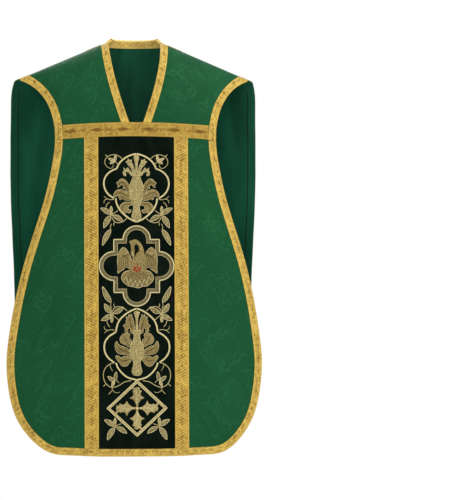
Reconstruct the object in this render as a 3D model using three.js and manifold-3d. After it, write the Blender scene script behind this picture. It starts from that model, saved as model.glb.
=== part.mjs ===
// Roman chasuble, millimetres, +Z up, +X to the right as the front is faced.
// The front faces -Y and the back +Y. The origin is where the garment rests on
// the shoulders: on the middle plane, level with the foot of the neck.
// Every layer of cloth is a thin shell over one of two surfaces, cut to the
// outline of its piece. Heights below are measured up from the hem.

import * as THREE from "three";
import { mergeVertices } from "three/addons/utils/BufferGeometryUtils.js";
import Module from "manifold-3d";

const wasm = await Module();
wasm.setup();

// ---- overall form -------------------------------------------------------
const neckHeight = 1093; // where the shoulder ridge meets the neck
const restDrop = 33; // from there down to where the shoulders carry it
const neckHalfWidth = 91;
const collarStand = 20; // the back neckline stands this far over the neck's foot
const collarRise = 70; // how far the surface climbs inside the neckline
const shoulderSlope = 0.424;
const frontDepth = 100;
const frontWrap = 95; // how far the front's sides curve back
const frontLean = 0.062;
const frontFall = 190; // height of the curve from ridge to chest
const backDepth = 90;
const backWrap = 62;
const backLean = 0.015;
const backFall = 170;

// ---- front outline ------------------------------------------------------
const waistHalfWidth = 213;
const frontHalfWidth = 338;
const frontWidestHeight = 215;
const armholeTipWidth = 314;
const chestDrop = 209; // from the neck's foot to the chest band's top
const seamUnderBand = 23; // the chest seam lies this far below the band's top
const chestBandDrop = 9; // how much the band's ends hang below its middle
const neckPointWidth = 12; // half the opening at the foot of the V

// ---- back outline -------------------------------------------------------
const backHalfWidth = 330;
const backLowerHalfWidth = 316;
const backWidestHeight = 200;

// ---- trims --------------------------------------------------------------
const edgeGalloon = 20;
const wideGalloon = 37;
const frontVelvetHalf = 100;
const backVelvetHalf = 91;
const stepReach = 138; // half-width of the steps of the back cross
const crossDrop = 201; // from the neck's foot to the top of the cross's arms
const crossArmWidth = 187;
const crossStepRise = 45; // upper steps, over the arms
const crossStepFall = 38; // lower steps, under them

// ---- heights that follow from these -------------------------------------
const restHeight = neckHeight - restDrop;
const collarTop = neckHeight + collarStand;
const chestBandTop = neckHeight - chestDrop;
const chestBandBottom = chestBandTop - wideGalloon;
const seamHeight = chestBandTop - seamUnderBand;
const swingHeight = chestBandBottom - chestBandDrop; // axis of the front's swing
const crossArmTop = neckHeight - crossDrop;
const crossArmBottom = crossArmTop - crossArmWidth;
const crossStepTop = crossArmTop + crossStepRise;
const crossStepBottom = crossArmBottom - crossStepFall;

// ---- embroidered appliques: heights of top and foot, half-widths --------
const frontUpper = { top: 801, foot: 619, halfWidth: 86 };
const frontPelican = { middle: 502, halfWidth: 98, halfHeight: 107 };
const frontLower = { top: 389, foot: 205, halfWidth: 85 };
const frontDiamond = { middle: 127, halfWidth: 81, halfHeight: 75 };
const backUpper = { top: neckHeight - 17, foot: neckHeight - 188, halfWidth: 85 };
const backLamb = { middle: crossArmTop - 100, halfWidth: 97, halfHeight: 105 };
const backArm = { inner: 108, outer: 290, halfWidth: 85 };
const backMiddle = { top: crossArmBottom - 22, foot: crossArmBottom - 211, halfWidth: 82 };
const backSmallDiamond = { middle: 438, halfWidth: 55, halfHeight: 49 };
const backLower = { top: 386, foot: 196, halfWidth: 84 };
const backDiamond = { middle: 117, halfWidth: 81, halfHeight: 75 };

// ---- layers, as distances out from the wearer's side --------------------
const clothGap = 0.3;
const liningThickness = 0.8;
const interliningThickness = 1.2;
const damaskThickness = 1.0;
const trimThickness = 1.2;
const clothInset = 1.5; // cloth ends this far inside the galloon's edge

const lining = [0, liningThickness];
const interlining = layerOver(lining, interliningThickness);
const damask = layerOver(interlining, damaskThickness);
const trim = layerOver(damask, trimThickness);
const embroidery = layerOver(trim, trimThickness);

function layerOver(below, thickness) {
  const start = below[1] + clothGap;
  return [start, start + thickness];
}

// ---- materials ----------------------------------------------------------
const cloth = (color, roughness) => new THREE.MeshStandardMaterial({ color, roughness, metalness: 0 });
const metalThread = (color) =>
  new THREE.MeshStandardMaterial({ color, roughness: 0.45, metalness: 0.35 });
const damaskGreen = cloth(0x1c5631, 0.6);
const satinGreen = cloth(0x15402f, 0.4);
const canvas = cloth(0xcfc8b4, 0.9);
const blackVelvet = cloth(0x0b120c, 0.95);
const goldGalloon = metalThread(0xb08e3e);
const goldThread = metalThread(0x9c9162);

// ---- the two surfaces ---------------------------------------------------
const widest = Math.max(frontHalfWidth, backHalfWidth);
const columnsRight = [30, 60, neckHalfWidth, 140, 195, 265, widest + 7];
const columns = [...columnsRight.map((x) => -x).reverse(), 0, ...columnsRight];
const rows = [0, 0.22, 0.46, 0.72, 1, 1.33, 1.66, 2];
const surfaceBottom = -6;

const front = {
  facing: -1,
  depth: (x) => frontDepth - frontWrap * (Math.abs(x) / frontHalfWidth) ** 3,
  lean: frontLean,
  fall: frontFall,
};

const back = {
  facing: 1,
  depth: (x) => backDepth - backWrap * (Math.abs(x) / backHalfWidth) ** 2.5,
  lean: backLean,
  fall: backFall,
};

function shoulderHeight(x) {
  return neckHeight - shoulderSlope * Math.max(0, Math.abs(x) - neckHalfWidth);
}

function ridgeHeight(x) {
  const inNeck = Math.min(1, Math.abs(x) / neckHalfWidth);
  return shoulderHeight(x) + (collarRise / 2) * (1 + Math.cos(Math.PI * inNeck));
}

// s runs from 0 on the ridge to 1 at the end of the shoulder curve, 2 at the hem
function surfacePoint(side, x, s) {
  const ridge = ridgeHeight(x);
  const curveEnd = shoulderHeight(x) - side.fall;
  const angle = (Math.min(s, 1) * Math.PI) / 2;
  const curved = curveEnd + (ridge - curveEnd) * Math.cos(angle);
  const z = s <= 1 ? curved : curveEnd + (surfaceBottom - curveEnd) * (s - 1);
  const leaning = side.lean * Math.max(0, shoulderHeight(x) - z);
  const y = side.facing * (side.depth(x) * Math.sin(angle) + leaning);
  return new THREE.Vector3(x, y, z);
}

function surfaceNormal(side, x, s) {
  const across = surfacePoint(side, x + 2, s).sub(surfacePoint(side, x - 2, s));
  const ahead = surfacePoint(side, x, Math.min(s + 0.02, 2));
  const along = ahead.sub(surfacePoint(side, x, Math.max(s - 0.02, 0)));
  return across.cross(along).normalize().multiplyScalar(side.facing);
}

// The ridge is a plane of its own, so that the two sides meet face to face
function offsetPoint(side, x, s, offset) {
  const shift = surfaceNormal(side, x, s).multiplyScalar(offset);
  if (s === 0) shift.y = 0;
  return surfacePoint(side, x, s).add(shift);
}

// ---- solids -------------------------------------------------------------
function toManifold(geometry) {
  geometry.deleteAttribute("normal");
  geometry.deleteAttribute("uv");
  const merged = mergeVertices(geometry, 1e-4);
  const vertProperties = new Float32Array(merged.attributes.position.array);
  const triVerts = new Uint32Array(merged.index.array);
  return new wasm.Manifold(new wasm.Mesh({ numProp: 3, vertProperties, triVerts }));
}

function toGeometry(solid) {
  const mesh = solid.getMesh();
  const geometry = new THREE.BufferGeometry();
  geometry.setAttribute("position", new THREE.BufferAttribute(mesh.vertProperties.slice(), 3));
  geometry.setIndex(new THREE.BufferAttribute(mesh.triVerts.slice(), 1));
  geometry.computeVertexNormals();
  return geometry;
}

// A shell between two offsets of a surface, over the whole side
function shell(side, [inner, outer]) {
  const positions = [];
  for (const offset of [outer, inner]) {
    for (const s of rows) {
      for (const x of columns) {
        positions.push(...offsetPoint(side, x, s, offset).toArray());
      }
    }
  }
  const across = columns.length;
  const layer = across * rows.length;
  const lastRow = layer - across;
  const index = [];
  const quad = (a, b, c, d) => {
    const triangles = side.facing < 0 ? [a, c, b, a, d, c] : [a, b, c, a, c, d];
    index.push(...triangles);
  };
  for (let r = 0; r < rows.length - 1; r += 1) {
    const first = r * across;
    const last = first + across - 1;
    for (let a = first; a < last; a += 1) {
      const b = a + layer;
      quad(a, a + 1, a + 1 + across, a + across);
      quad(b, b + across, b + 1 + across, b + 1);
    }
    quad(first, first + across, first + across + layer, first + layer);
    quad(last, last + layer, last + across + layer, last + across);
  }
  for (let a = 0; a < across - 1; a += 1) {
    const low = lastRow + a;
    quad(a, a + layer, a + 1 + layer, a + 1);
    quad(low, low + 1, low + 1 + layer, low + layer);
  }
  const geometry = new THREE.BufferGeometry();
  geometry.setAttribute("position", new THREE.Float32BufferAttribute(positions, 3));
  geometry.setIndex(index);
  return toManifold(geometry);
}

// An outline in x and z, run through the depth of one side of the garment
function prism(side, outline) {
  const reach = 400;
  const shape = new THREE.Shape(withoutRepeats(outline));
  const geometry = new THREE.ExtrudeGeometry(shape, { depth: reach, bevelEnabled: false });
  geometry.rotateX(Math.PI / 2);
  const seam = clothGap / 2;
  geometry.translate(0, side.facing > 0 ? reach + seam : -seam, 0);
  return toManifold(geometry);
}

function cutPiece(side, layer, ...outlines) {
  return outlines.reduce((solid, outline) => solid.intersect(prism(side, outline)), shell(side, layer));
}

// ---- lines and outlines in x and z --------------------------------------
const above = neckHeight + 157; // clear over the garment
const beyond = widest + 42; // clear of its sides
const point = (x, z) => new THREE.Vector2(x, z);
const sided = (sign, line) => line.map((p) => point(sign * p.x, p.y));
const bothSides = (right) => [...right, ...sided(-1, right).reverse()];

function withoutRepeats(points) {
  return points.filter((p, i) => p.distanceTo(points[(i + 1) % points.length]) > 0.4);
}

function smooth(controls, divisions) {
  return new THREE.SplineCurve(controls.map(([x, z]) => point(x, z))).getPoints(divisions);
}

function bend(start, control, end, divisions) {
  const curve = new THREE.QuadraticBezierCurve(point(...start), point(...control), point(...end));
  return curve.getPoints(divisions);
}

function arc(x, z, radius, fromDegrees, toDegrees, steps) {
  return Array.from({ length: steps + 1 }, (_, i) => {
    const angle = THREE.MathUtils.degToRad(fromDegrees + ((toDegrees - fromDegrees) * i) / steps);
    return point(x + radius * Math.cos(angle), z + radius * Math.sin(angle));
  });
}

// A line running down the right-hand side, moved in towards the middle;
// points on the middle line stay on it
function inset(line, distance) {
  return line.map((p, i) => {
    const before = line[Math.max(i - 1, 0)];
    const after = line[Math.min(i + 1, line.length - 1)];
    const along = after.clone().sub(before).normalize();
    return point(p.x === 0 ? 0 : p.x + along.y * distance, p.y - along.x * distance);
  });
}

// A line of right-angled steps, moved to its left with its corners kept square
function steppedShift(line, distance) {
  return line.map((p, i) => {
    const into = p.clone().sub(line[Math.max(i - 1, 0)]).normalize();
    const out = line[Math.min(i + 1, line.length - 1)].clone().sub(p).normalize();
    return point(p.x - (into.y || out.y) * distance, p.y + (into.x || out.x) * distance);
  });
}

// The closed outline inside a pair of edges, open upwards
function field(edge, distance) {
  const right = inset(edge, distance);
  return bothSides([point(right[0].x, above), ...right]);
}

function bandInside(edge, width) {
  return [...edge, ...inset(edge, width).reverse()];
}

const chestSag = (x) => chestBandDrop * (x / waistHalfWidth) ** 2;

function chestLine(height) {
  return [-beyond, -140, -70, 0, 70, 140, beyond].map((x) => point(x, height - chestSag(x)));
}

const overLine = (line) => [...line, point(beyond, above), point(-beyond, above)];
const underLine = (line) => [...line, point(beyond, surfaceBottom), point(-beyond, surfaceBottom)];

function armholeEdge() {
  const tip = [armholeTipWidth, shoulderHeight(armholeTipWidth) + 4];
  const crook = [waistHalfWidth + 15, tip[1] - 27];
  const curve = bend(tip, crook, [waistHalfWidth + 1, chestBandTop - 16], 7);
  return [...curve, point(waistHalfWidth, swingHeight + clothGap)];
}

function frontEdge() {
  const wide = frontHalfWidth;
  const low = frontWidestHeight;
  const controls = [
    [waistHalfWidth, swingHeight],
    [waistHalfWidth + 5, swingHeight - 50],
    [waistHalfWidth + 28, swingHeight - 158],
    [wide - 40, low + 281],
    [wide - 8, low + 122],
    [wide, low],
    [wide - 26, low - 120],
    [wide - 97, 15],
    [wide - 190, 2],
    [0, 0],
  ];
  return smooth(controls, 27);
}

function backEdge() {
  const wide = backHalfWidth;
  const low = backLowerHalfWidth;
  const controls = [
    [armholeTipWidth - 2, shoulderHeight(armholeTipWidth) + 14],
    [wide - 3, neckHeight - 118],
    [wide, neckHeight - 193],
    [wide, neckHeight - 393],
    [low + 4, backWidestHeight + 250],
    [low, backWidestHeight],
    [low - 22, backWidestHeight - 110],
    [low - 67, 31],
    [low - 140, 5],
    [0, 0],
  ];
  return smooth(controls, 27);
}

// Outer edge of the neck galloon, from over the ridge to the chest seam
function neckEdge() {
  const shoulder = [neckHalfWidth - 1, neckHeight + 14];
  return bend(shoulder, [neckHalfWidth - 4, 1008], [neckPointWidth + 19, seamHeight], 6);
}

function yokeOutline(sign) {
  const seam = seamHeight + clothGap;
  const outer = inset(armholeEdge(), clothInset).filter((p) => p.y > seam);
  const inner = inset(neckEdge(), edgeGalloon - clothInset).filter((p) => p.y > seam);
  const foot = [point(outer.at(-1).x, seam), point(inner.at(-1).x, seam)];
  const top = [point(inner[0].x, above), point(beyond, above)];
  return sided(sign, [...outer, ...foot, ...inner.reverse(), ...top]);
}

function frontBodyOutline() {
  const edge = inset(frontEdge(), clothInset);
  return bothSides([point(edge[0].x, seamHeight), ...edge]);
}

function backClothOutline() {
  const edge = inset(backEdge(), clothInset);
  return bothSides([point(edge[0].x, collarTop - trimThickness - clothGap), ...edge]);
}

function crossUpperLine() {
  return [
    point(backVelvetHalf, above),
    point(backVelvetHalf, crossStepTop),
    point(stepReach, crossStepTop),
    point(stepReach, crossArmTop),
    point(beyond, crossArmTop),
  ];
}

function crossLowerLine() {
  return [
    point(beyond, crossArmBottom),
    point(stepReach, crossArmBottom),
    point(stepReach, crossStepBottom),
    point(backVelvetHalf, crossStepBottom),
    point(backVelvetHalf, surfaceBottom),
  ];
}

// The lower edge of the collar galloon, and everything below it
const collarCornerWidth = neckHalfWidth + 6;
const collarCornerHeight = neckHeight - 9;
const collarBandBottom = collarTop - edgeGalloon;

function collarLine(gap) {
  const inner = point(neckHalfWidth - 21, collarBandBottom - gap);
  const corner = point(collarCornerWidth + gap, collarCornerHeight - gap);
  return [inner, corner];
}

function collarBandOutline() {
  return bothSides([...collarLine(0), point(collarCornerWidth, collarTop)]);
}

function belowCollarOutline() {
  const [inner, corner] = collarLine(clothGap);
  const outside = [point(corner.x, above), point(beyond, above), point(beyond, surfaceBottom)];
  return bothSides([inner, corner, ...outside]);
}

// ---- outlines of the embroidered appliques ------------------------------
function medallionOutline({ top, foot, halfWidth }) {
  const height = top - foot;
  const shoulder = top - 0.24 * height;
  const waist = top - 0.66 * height;
  const sideMiddle = (shoulder + waist) / 2;
  const right = [
    ...bend([0, top], [halfWidth * 0.5, top - 6], [halfWidth * 0.62, shoulder], 3),
    ...bend([halfWidth * 0.68, shoulder], [halfWidth * 1.28, sideMiddle], [halfWidth * 0.7, waist], 5),
    ...bend([halfWidth * 0.68, waist - 2], [halfWidth * 0.62, foot + 22], [0, foot], 4),
  ];
  return bothSides(right);
}

// The same medallion on its side, its foot towards the middle of the garment
function sidewaysOutline(sign, { inner, outer, halfWidth }, middle) {
  const upright = medallionOutline({ top: outer, foot: inner, halfWidth });
  return upright.map((p) => point(sign * p.y, middle + p.x));
}

function quatrefoilOutline({ middle, halfWidth, halfHeight }) {
  const square = halfWidth * 0.63;
  const tall = halfHeight * 0.63;
  const radius = halfWidth * 0.36;
  const right = [
    ...arc(0, middle + halfHeight - radius, radius, 90, 0, 3),
    point(radius, middle + tall),
    point(square, middle + tall),
    point(square, middle + radius),
    ...arc(halfWidth - radius, middle, radius, 90, -90, 6),
    point(square, middle - radius),
    point(square, middle - tall),
    point(radius, middle - tall),
    ...arc(0, middle - halfHeight + radius, radius, 0, -90, 3),
  ];
  return bothSides(right);
}

function diamondOutline({ middle, halfWidth, halfHeight }) {
  const topPoint = point(0, middle + halfHeight);
  return bothSides([topPoint, point(halfWidth, middle), point(0, middle - halfHeight)]);
}

// ---- the garment --------------------------------------------------------
const garment = new THREE.Group();
garment.position.z = -restHeight;
const sides = { left: -1, right: 1 };

function add(name, solid, material) {
  const mesh = new THREE.Mesh(toGeometry(solid), material);
  mesh.name = name;
  garment.add(mesh);
}

function addFrontCloth() {
  const outline = frontBodyOutline();
  add("front_lining", cutPiece(front, lining, outline), satinGreen);
  add("front_interlining", cutPiece(front, interlining, outline), canvas);
  add("front_panel", cutPiece(front, damask, outline), damaskGreen);
}

function addFrontTrims() {
  const edge = frontEdge();
  const rim = cutPiece(front, trim, bothSides(edge)).subtract(prism(front, field(edge, edgeGalloon)));
  add("front_edge_galloon", rim, goldGalloon);
  const inside = [field(edge, edgeGalloon + clothGap), underLine(chestLine(chestBandBottom - clothGap))];
  const velvet = bothSides([point(frontVelvetHalf, above), point(frontVelvetHalf, surfaceBottom)]);
  add("front_orphrey_velvet", cutPiece(front, trim, velvet, ...inside), blackVelvet);
  const inner = frontVelvetHalf + clothGap;
  const line = [point(inner + wideGalloon, above), point(inner + wideGalloon, surfaceBottom)];
  for (const [side, sign] of Object.entries(sides)) {
    const column = sided(sign, bandInside(line, wideGalloon));
    add(`front_orphrey_galloon_${side}`, cutPiece(front, trim, column, ...inside), goldGalloon);
  }
}

function addYokes() {
  for (const [side, sign] of Object.entries(sides)) {
    const outline = yokeOutline(sign);
    add(`yoke_lining_${side}`, cutPiece(front, lining, outline), satinGreen);
    add(`yoke_interlining_${side}`, cutPiece(front, interlining, outline), canvas);
    add(`yoke_panel_${side}`, cutPiece(front, damask, outline), damaskGreen);
  }
}

function addYokeTrims() {
  const edge = armholeEdge();
  const band = [overLine(chestLine(chestBandBottom)), underLine(chestLine(chestBandTop))];
  const chest = cutPiece(front, trim, field(edge, edgeGalloon + clothGap), ...band);
  add("front_chest_galloon", chest, goldGalloon);
  const overBand = overLine(chestLine(chestBandTop + clothGap));
  for (const [side, sign] of Object.entries(sides)) {
    const armhole = sided(sign, bandInside(edge, edgeGalloon));
    const neck = sided(sign, bandInside(neckEdge(), edgeGalloon));
    add(`armhole_galloon_${side}`, cutPiece(front, trim, armhole), goldGalloon);
    add(`neck_galloon_${side}`, cutPiece(front, trim, neck, overBand), goldGalloon);
  }
}

function addBackCloth() {
  const outline = backClothOutline();
  add("back_lining", cutPiece(back, lining, outline), satinGreen);
  add("back_interlining", cutPiece(back, interlining, outline), canvas);
  add("back_panel", cutPiece(back, damask, outline), damaskGreen);
}

// Folded over the top edge, with one leg outside the cloth and one inside
function addCollarGalloon() {
  const bothLegs = [-clothGap - trimThickness, trim[1]];
  const clothSpace = [-clothGap, trim[0]];
  const fold = collarTop - trimThickness;
  const whole = cutPiece(back, bothLegs, collarBandOutline());
  const slot = cutPiece(back, clothSpace, underLine([point(-beyond, fold), point(beyond, fold)]));
  add("neck_galloon_back", whole.subtract(slot), goldGalloon);
}

function addBackTrims() {
  const edge = backEdge();
  const rim = cutPiece(back, trim, field(edge, 0)).subtract(prism(back, field(edge, edgeGalloon)));
  add("back_edge_galloon", rim, goldGalloon);
  const inside = [field(edge, edgeGalloon + clothGap), belowCollarOutline()];
  const cross = bothSides([...crossUpperLine(), ...crossLowerLine()]);
  add("back_orphrey_velvet", cutPiece(back, trim, cross, ...inside), blackVelvet);
  for (const [part, line] of [["upper", crossUpperLine()], ["lower", crossLowerLine()]]) {
    const nearEdge = steppedShift(line, clothGap);
    const farEdge = steppedShift(line, clothGap + wideGalloon);
    const band = [...nearEdge, ...farEdge.reverse()];
    for (const [side, sign] of Object.entries(sides)) {
      const solid = cutPiece(back, trim, sided(sign, band), ...inside);
      add(`back_orphrey_galloon_${part}_${side}`, solid, goldGalloon);
    }
  }
}

function addAppliques() {
  const appliques = [
    ["front_applique_upper", front, medallionOutline(frontUpper)],
    ["front_applique_pelican", front, quatrefoilOutline(frontPelican)],
    ["front_applique_lower", front, medallionOutline(frontLower)],
    ["front_applique_diamond", front, diamondOutline(frontDiamond)],
    ["back_applique_upper", back, medallionOutline(backUpper)],
    ["back_applique_lamb", back, quatrefoilOutline(backLamb)],
    ["back_applique_arm_left", back, sidewaysOutline(sides.left, backArm, backLamb.middle)],
    ["back_applique_arm_right", back, sidewaysOutline(sides.right, backArm, backLamb.middle)],
    ["back_applique_middle", back, medallionOutline(backMiddle)],
    ["back_applique_small_diamond", back, diamondOutline(backSmallDiamond)],
    ["back_applique_lower", back, medallionOutline(backLower)],
    ["back_applique_diamond", back, diamondOutline(backDiamond)],
  ];
  for (const [name, side, outline] of appliques) {
    add(name, cutPiece(side, embroidery, outline), goldThread);
  }
}

addFrontCloth();
addFrontTrims();
addYokes();
addYokeTrims();
addBackCloth();
addCollarGalloon();
addBackTrims();
addAppliques();

export default garment;
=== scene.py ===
"""A green Roman chasuble: cloth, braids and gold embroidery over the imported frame.

Lengths below are in millimetres, with heights measured up from the hem, and
become metres in the row frame when a mesh is made. +X is to the right as the
front is faced, and the front faces -Y.
"""

import math
from typing import NamedTuple

import bpy
import numpy as np
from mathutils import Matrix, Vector
from mathutils.geometry import delaunay_2d_cdt


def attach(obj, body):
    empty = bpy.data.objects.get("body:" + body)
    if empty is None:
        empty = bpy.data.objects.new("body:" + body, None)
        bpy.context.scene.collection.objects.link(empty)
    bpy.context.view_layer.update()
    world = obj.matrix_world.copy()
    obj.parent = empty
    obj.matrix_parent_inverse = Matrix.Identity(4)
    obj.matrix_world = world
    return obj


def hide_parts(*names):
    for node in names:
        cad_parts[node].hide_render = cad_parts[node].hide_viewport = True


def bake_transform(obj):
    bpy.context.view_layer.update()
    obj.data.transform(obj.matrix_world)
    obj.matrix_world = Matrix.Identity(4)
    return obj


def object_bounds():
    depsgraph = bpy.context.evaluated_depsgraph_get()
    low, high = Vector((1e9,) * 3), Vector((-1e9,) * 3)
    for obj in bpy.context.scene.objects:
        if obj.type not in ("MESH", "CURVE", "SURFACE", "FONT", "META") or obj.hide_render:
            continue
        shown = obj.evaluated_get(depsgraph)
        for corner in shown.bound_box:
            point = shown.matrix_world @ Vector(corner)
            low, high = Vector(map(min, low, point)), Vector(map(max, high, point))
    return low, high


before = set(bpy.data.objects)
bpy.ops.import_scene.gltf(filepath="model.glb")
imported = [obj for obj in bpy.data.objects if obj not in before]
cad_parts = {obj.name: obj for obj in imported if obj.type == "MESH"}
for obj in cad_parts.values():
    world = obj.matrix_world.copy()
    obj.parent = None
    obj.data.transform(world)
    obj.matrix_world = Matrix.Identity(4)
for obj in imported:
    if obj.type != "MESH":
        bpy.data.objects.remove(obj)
cad_low, cad_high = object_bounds()


def pairs(*values):
    return np.stack(values, 1)


def unit(vectors):
    return vectors / np.linalg.norm(vectors, axis=-1, keepdims=True)


# ---- the form, as in the CAD part ------------------------------------------
HEM = cad_low.z * 1000
NECK_HEIGHT = 1093
NECK_HALF = 91
COLLAR_TOP = 1113
COLLAR_RISE = 70
SLOPE = 0.424
WAIST_HALF = 213
CHEST_TOP = 884
CHEST_BOTTOM = 847
SEAM = 861
SWING = 838
ARM_TIP = 314
NECK_POINT = 12
EDGE = 20
WIDE = 37
GAP = 0.3
FRONT_VELVET = 100
BACK_VELVET = 91
STEP_REACH = 138
CROSS_TOP = 892
CROSS_BOTTOM = 705
STEP_TOP = 937
STEP_BOTTOM = 667
INSET = 1.5
BOTTOM = -6
ABOVE = 1250
BEYOND = 380
FINE = 3.2
RIM_STEP = 0.85
ROW_STEP = 0.87

ENDS = (("left", -1), ("right", 1))

LINING = (0.0, 0.8)
INTERLINING = (1.1, 2.3)
DAMASK = (2.6, 3.6)
TRIM = (3.9, 5.1)


class Side(NamedTuple):
    """One side of the garment: how deep it stands out, and how it wraps round and leans."""

    facing: int
    depth: float
    wrap: float
    power: float
    half: float
    lean: float
    fall: float

    def reach(self, x):
        return self.depth - self.wrap * (np.abs(x) / self.half) ** self.power


FRONT = Side(-1, 100, 95, 3, 338, 0.062, 190)
BACK = Side(1, 90, 62, 2.5, 330, 0.015, 170)


def shoulder(x):
    """The height of the shoulder line."""
    return NECK_HEIGHT - SLOPE * np.maximum(0, np.abs(x) - NECK_HALF)


def ridge(x):
    """The top of the form: the shoulder line, with the collar standing up at the neck."""
    inside = np.minimum(1, np.abs(x) / NECK_HALF)
    return shoulder(x) + COLLAR_RISE / 2 * (1 + np.cos(np.pi * inside))


def to_s(side, x, z):
    """Where a height lies: 0 at the ridge, 1 at the end of the shoulder curve, 2 at the hem."""
    end = shoulder(x) - side.fall
    u = np.clip((z - end) / (ridge(x) - end), 0, 1)
    return np.where(z >= end, np.arccos(u) * 2 / np.pi, 1 + (end - z) / (end - BOTTOM))


def surface(side, x, s):
    """Points of the smooth form, y being the distance front to back."""
    end = shoulder(x) - side.fall
    angle = np.minimum(s, 1) * np.pi / 2
    z = np.where(s <= 1, end + (ridge(x) - end) * np.cos(angle), end + (BOTTOM - end) * (s - 1))
    leaning = side.lean * np.maximum(0, shoulder(x) - z)
    y = side.facing * (side.reach(x) * np.sin(angle) + leaning)
    return np.stack([x + 0 * z, y, z], -1)


def normal(side, x, s):
    """Outward from the wearer; level at the ridge, so that both sides' layers meet."""
    across = surface(side, x + 1, s) - surface(side, x - 1, s)
    along = surface(side, x, np.minimum(s + 0.012, 2)) - surface(side, x, np.maximum(s - 0.012, 0))
    n = unit(np.cross(across, along) * side.facing)
    level = np.clip(s / 0.03, 0, 1)
    n[..., 1] *= level
    return unit(n)


def bump_at(x, z, cx, cz, rx, rz):
    return np.exp(-(((x - cx) / rx) ** 2) - ((z - cz) / rz) ** 2)


def ripple(side, x, z):
    """How far the cloth stands off the smooth form: the same for every layer."""
    ax = np.abs(x)
    low = np.clip((820 - z) / 500, 0, 1)
    field = np.clip((ax - 120) / 60, 0, 1)
    if side is FRONT:
        r = 1.9 * low * field * np.sin(x / 31 + z / 260 + 0.8 * np.sign(x))
        r += 1.1 * low * np.sin(x / 57 - z / 190 + 1.3)
        yoke = np.clip((z - 870) / 30, 0, 1) * np.clip((ridge(x) - z) / 40, 0, 1)
        beside = np.exp(-((ax - 40 - 0.24 * (z - 870)) / 60) ** 2)
        r += yoke * beside * 0.8 * np.sin(z / 4.6 + 1.6 * np.sin(x / 13) + 0.6 * np.sign(x))
        r += yoke * 0.9 * np.sin(x / 21 + z / 33) * np.sin(z / 27 - x / 60)
        r += yoke * 1.6 * bump_at(ax, z, 190, 975, 60, 22)
        r -= yoke * 1.4 * bump_at(ax, z, 168, 925, 55, 18)
    else:
        r = 1.5 * low * field * np.sin(x / 36 - z / 300 + 0.5)
        r += 1.0 * low * np.sin(x / 64 + z / 210)
        top = np.clip((ridge(x) - z) / 60, 0, 1)
        r += top * 0.7 * np.sin(x / 24 - z / 35) * np.sin(z / 29 + x / 70) * field
    return r * np.clip((ridge(x) - z) / 25, 0, 1)


def lift(side, x, z, off):
    """Points of the row frame, in metres, this far out from the wearer's side of the cloth."""
    x, z = np.asarray(x, float), np.asarray(z, float)
    s = to_s(side, x, z)
    p = surface(side, x, s) + normal(side, x, s) * (np.asarray(off) + ripple(side, x, z))[..., None]
    p[..., 2] += HEM
    return p / 1000


def arc(side, x, s):
    """Length of cloth from the ridge down to s."""
    t = np.linspace(0, 1, 33)
    curve = surface(side, x[:, None], np.minimum(s, 1)[:, None] * t)
    length = np.linalg.norm(np.diff(curve, axis=1), axis=2).sum(1)
    straight = surface(side, x, np.maximum(s, 1)) - surface(side, x, np.ones_like(s))
    return length + np.linalg.norm(straight, axis=1)


# ---- lines -------------------------------------------------------------------
def catmull(points, count, closed=False):
    """A smooth curve through the points."""
    p = np.array(points, float)
    n = len(p)
    spans = n if closed else n - 1
    out = []
    for i in range(spans):
        if closed:
            a, b, c, d = p[(i - 1) % n], p[i], p[(i + 1) % n], p[(i + 2) % n]
        else:
            a, b, c, d = p[max(i - 1, 0)], p[i], p[i + 1], p[min(i + 2, n - 1)]
        t = np.linspace(0, 1, count, endpoint=False)[:, None]
        v0, v1 = (c - a) / 2, (d - b) / 2
        out.append((2 * b - 2 * c + v0 + v1) * t**3 + (-3 * b + 3 * c - 2 * v0 - v1) * t**2 + v0 * t + b)
    if not closed:
        out.append(p[-1:])
    return np.concatenate(out)


def quad(a, b, c, count=40):
    """A quadratic curve from a to c, drawn towards b."""
    t = np.linspace(0, 1, count)[:, None]
    a, b, c = np.array(a, float), np.array(b, float), np.array(c, float)
    return (1 - t) ** 2 * a + 2 * t * (1 - t) * b + t**2 * c


def resample(line, step, closed=False):
    """The same line with points about step apart; its sharp corners stay."""
    p = np.array(line, float)
    if closed:
        p = np.vstack([p, p[:1]])
    out = []
    for a, b in zip(p[:-1], p[1:]):
        count = max(1, int(round(np.linalg.norm(b - a) / step)))
        out.append(a + (b - a) * np.linspace(0, 1, count, endpoint=False)[:, None])
    if not closed:
        out.append(p[-1:])
    p = np.concatenate(out)
    keep = [0]
    for i in range(1, len(p)):
        turn = 0
        if 0 < i < len(p) - 1:
            u, v = p[i] - p[i - 1], p[i + 1] - p[i]
            turn = abs(np.arctan2(u[0] * v[1] - u[1] * v[0], u @ v))
        last = i == len(p) - 1 and not closed
        if last or turn > 0.5 or np.linalg.norm(p[i] - p[keep[-1]]) > 0.6 * step:
            keep.append(i)
    return p[keep]


def inset(line, distance):
    """A line running down the right-hand side, moved in towards the middle."""
    p = np.array(line, float)
    d = unit(np.gradient(p, axis=0))
    out = pairs(p[:, 0] + d[:, 1] * distance, p[:, 1] - d[:, 0] * distance)
    out[p[:, 0] == 0, 0] = 0
    return out


def mirrored(line):
    return np.array(line, float) * [-1, 1]


def both(right):
    """A line down the right side carried on up the left one."""
    right = np.array(right, float)
    return np.vstack([right, mirrored(right)[::-1]])


def front_edge():
    w, h, low = WAIST_HALF, FRONT.half, 215
    return catmull([(w, SWING), (w + 5, SWING - 50), (w + 28, SWING - 158), (h - 40, low + 281),
        (h - 8, low + 122), (h, low), (h - 26, low - 120), (h - 97, 15), (h - 190, 2), (0, 0)], 24)


def back_edge():
    h, low = BACK.half, 316
    return catmull([(ARM_TIP - 2, shoulder(ARM_TIP) + 14), (h - 3, NECK_HEIGHT - 118),
        (h, NECK_HEIGHT - 193), (h, NECK_HEIGHT - 393), (low + 4, 450), (low, 200), (low - 22, 90),
        (low - 67, 31), (low - 140, 5), (0, 0)], 24)


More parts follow.
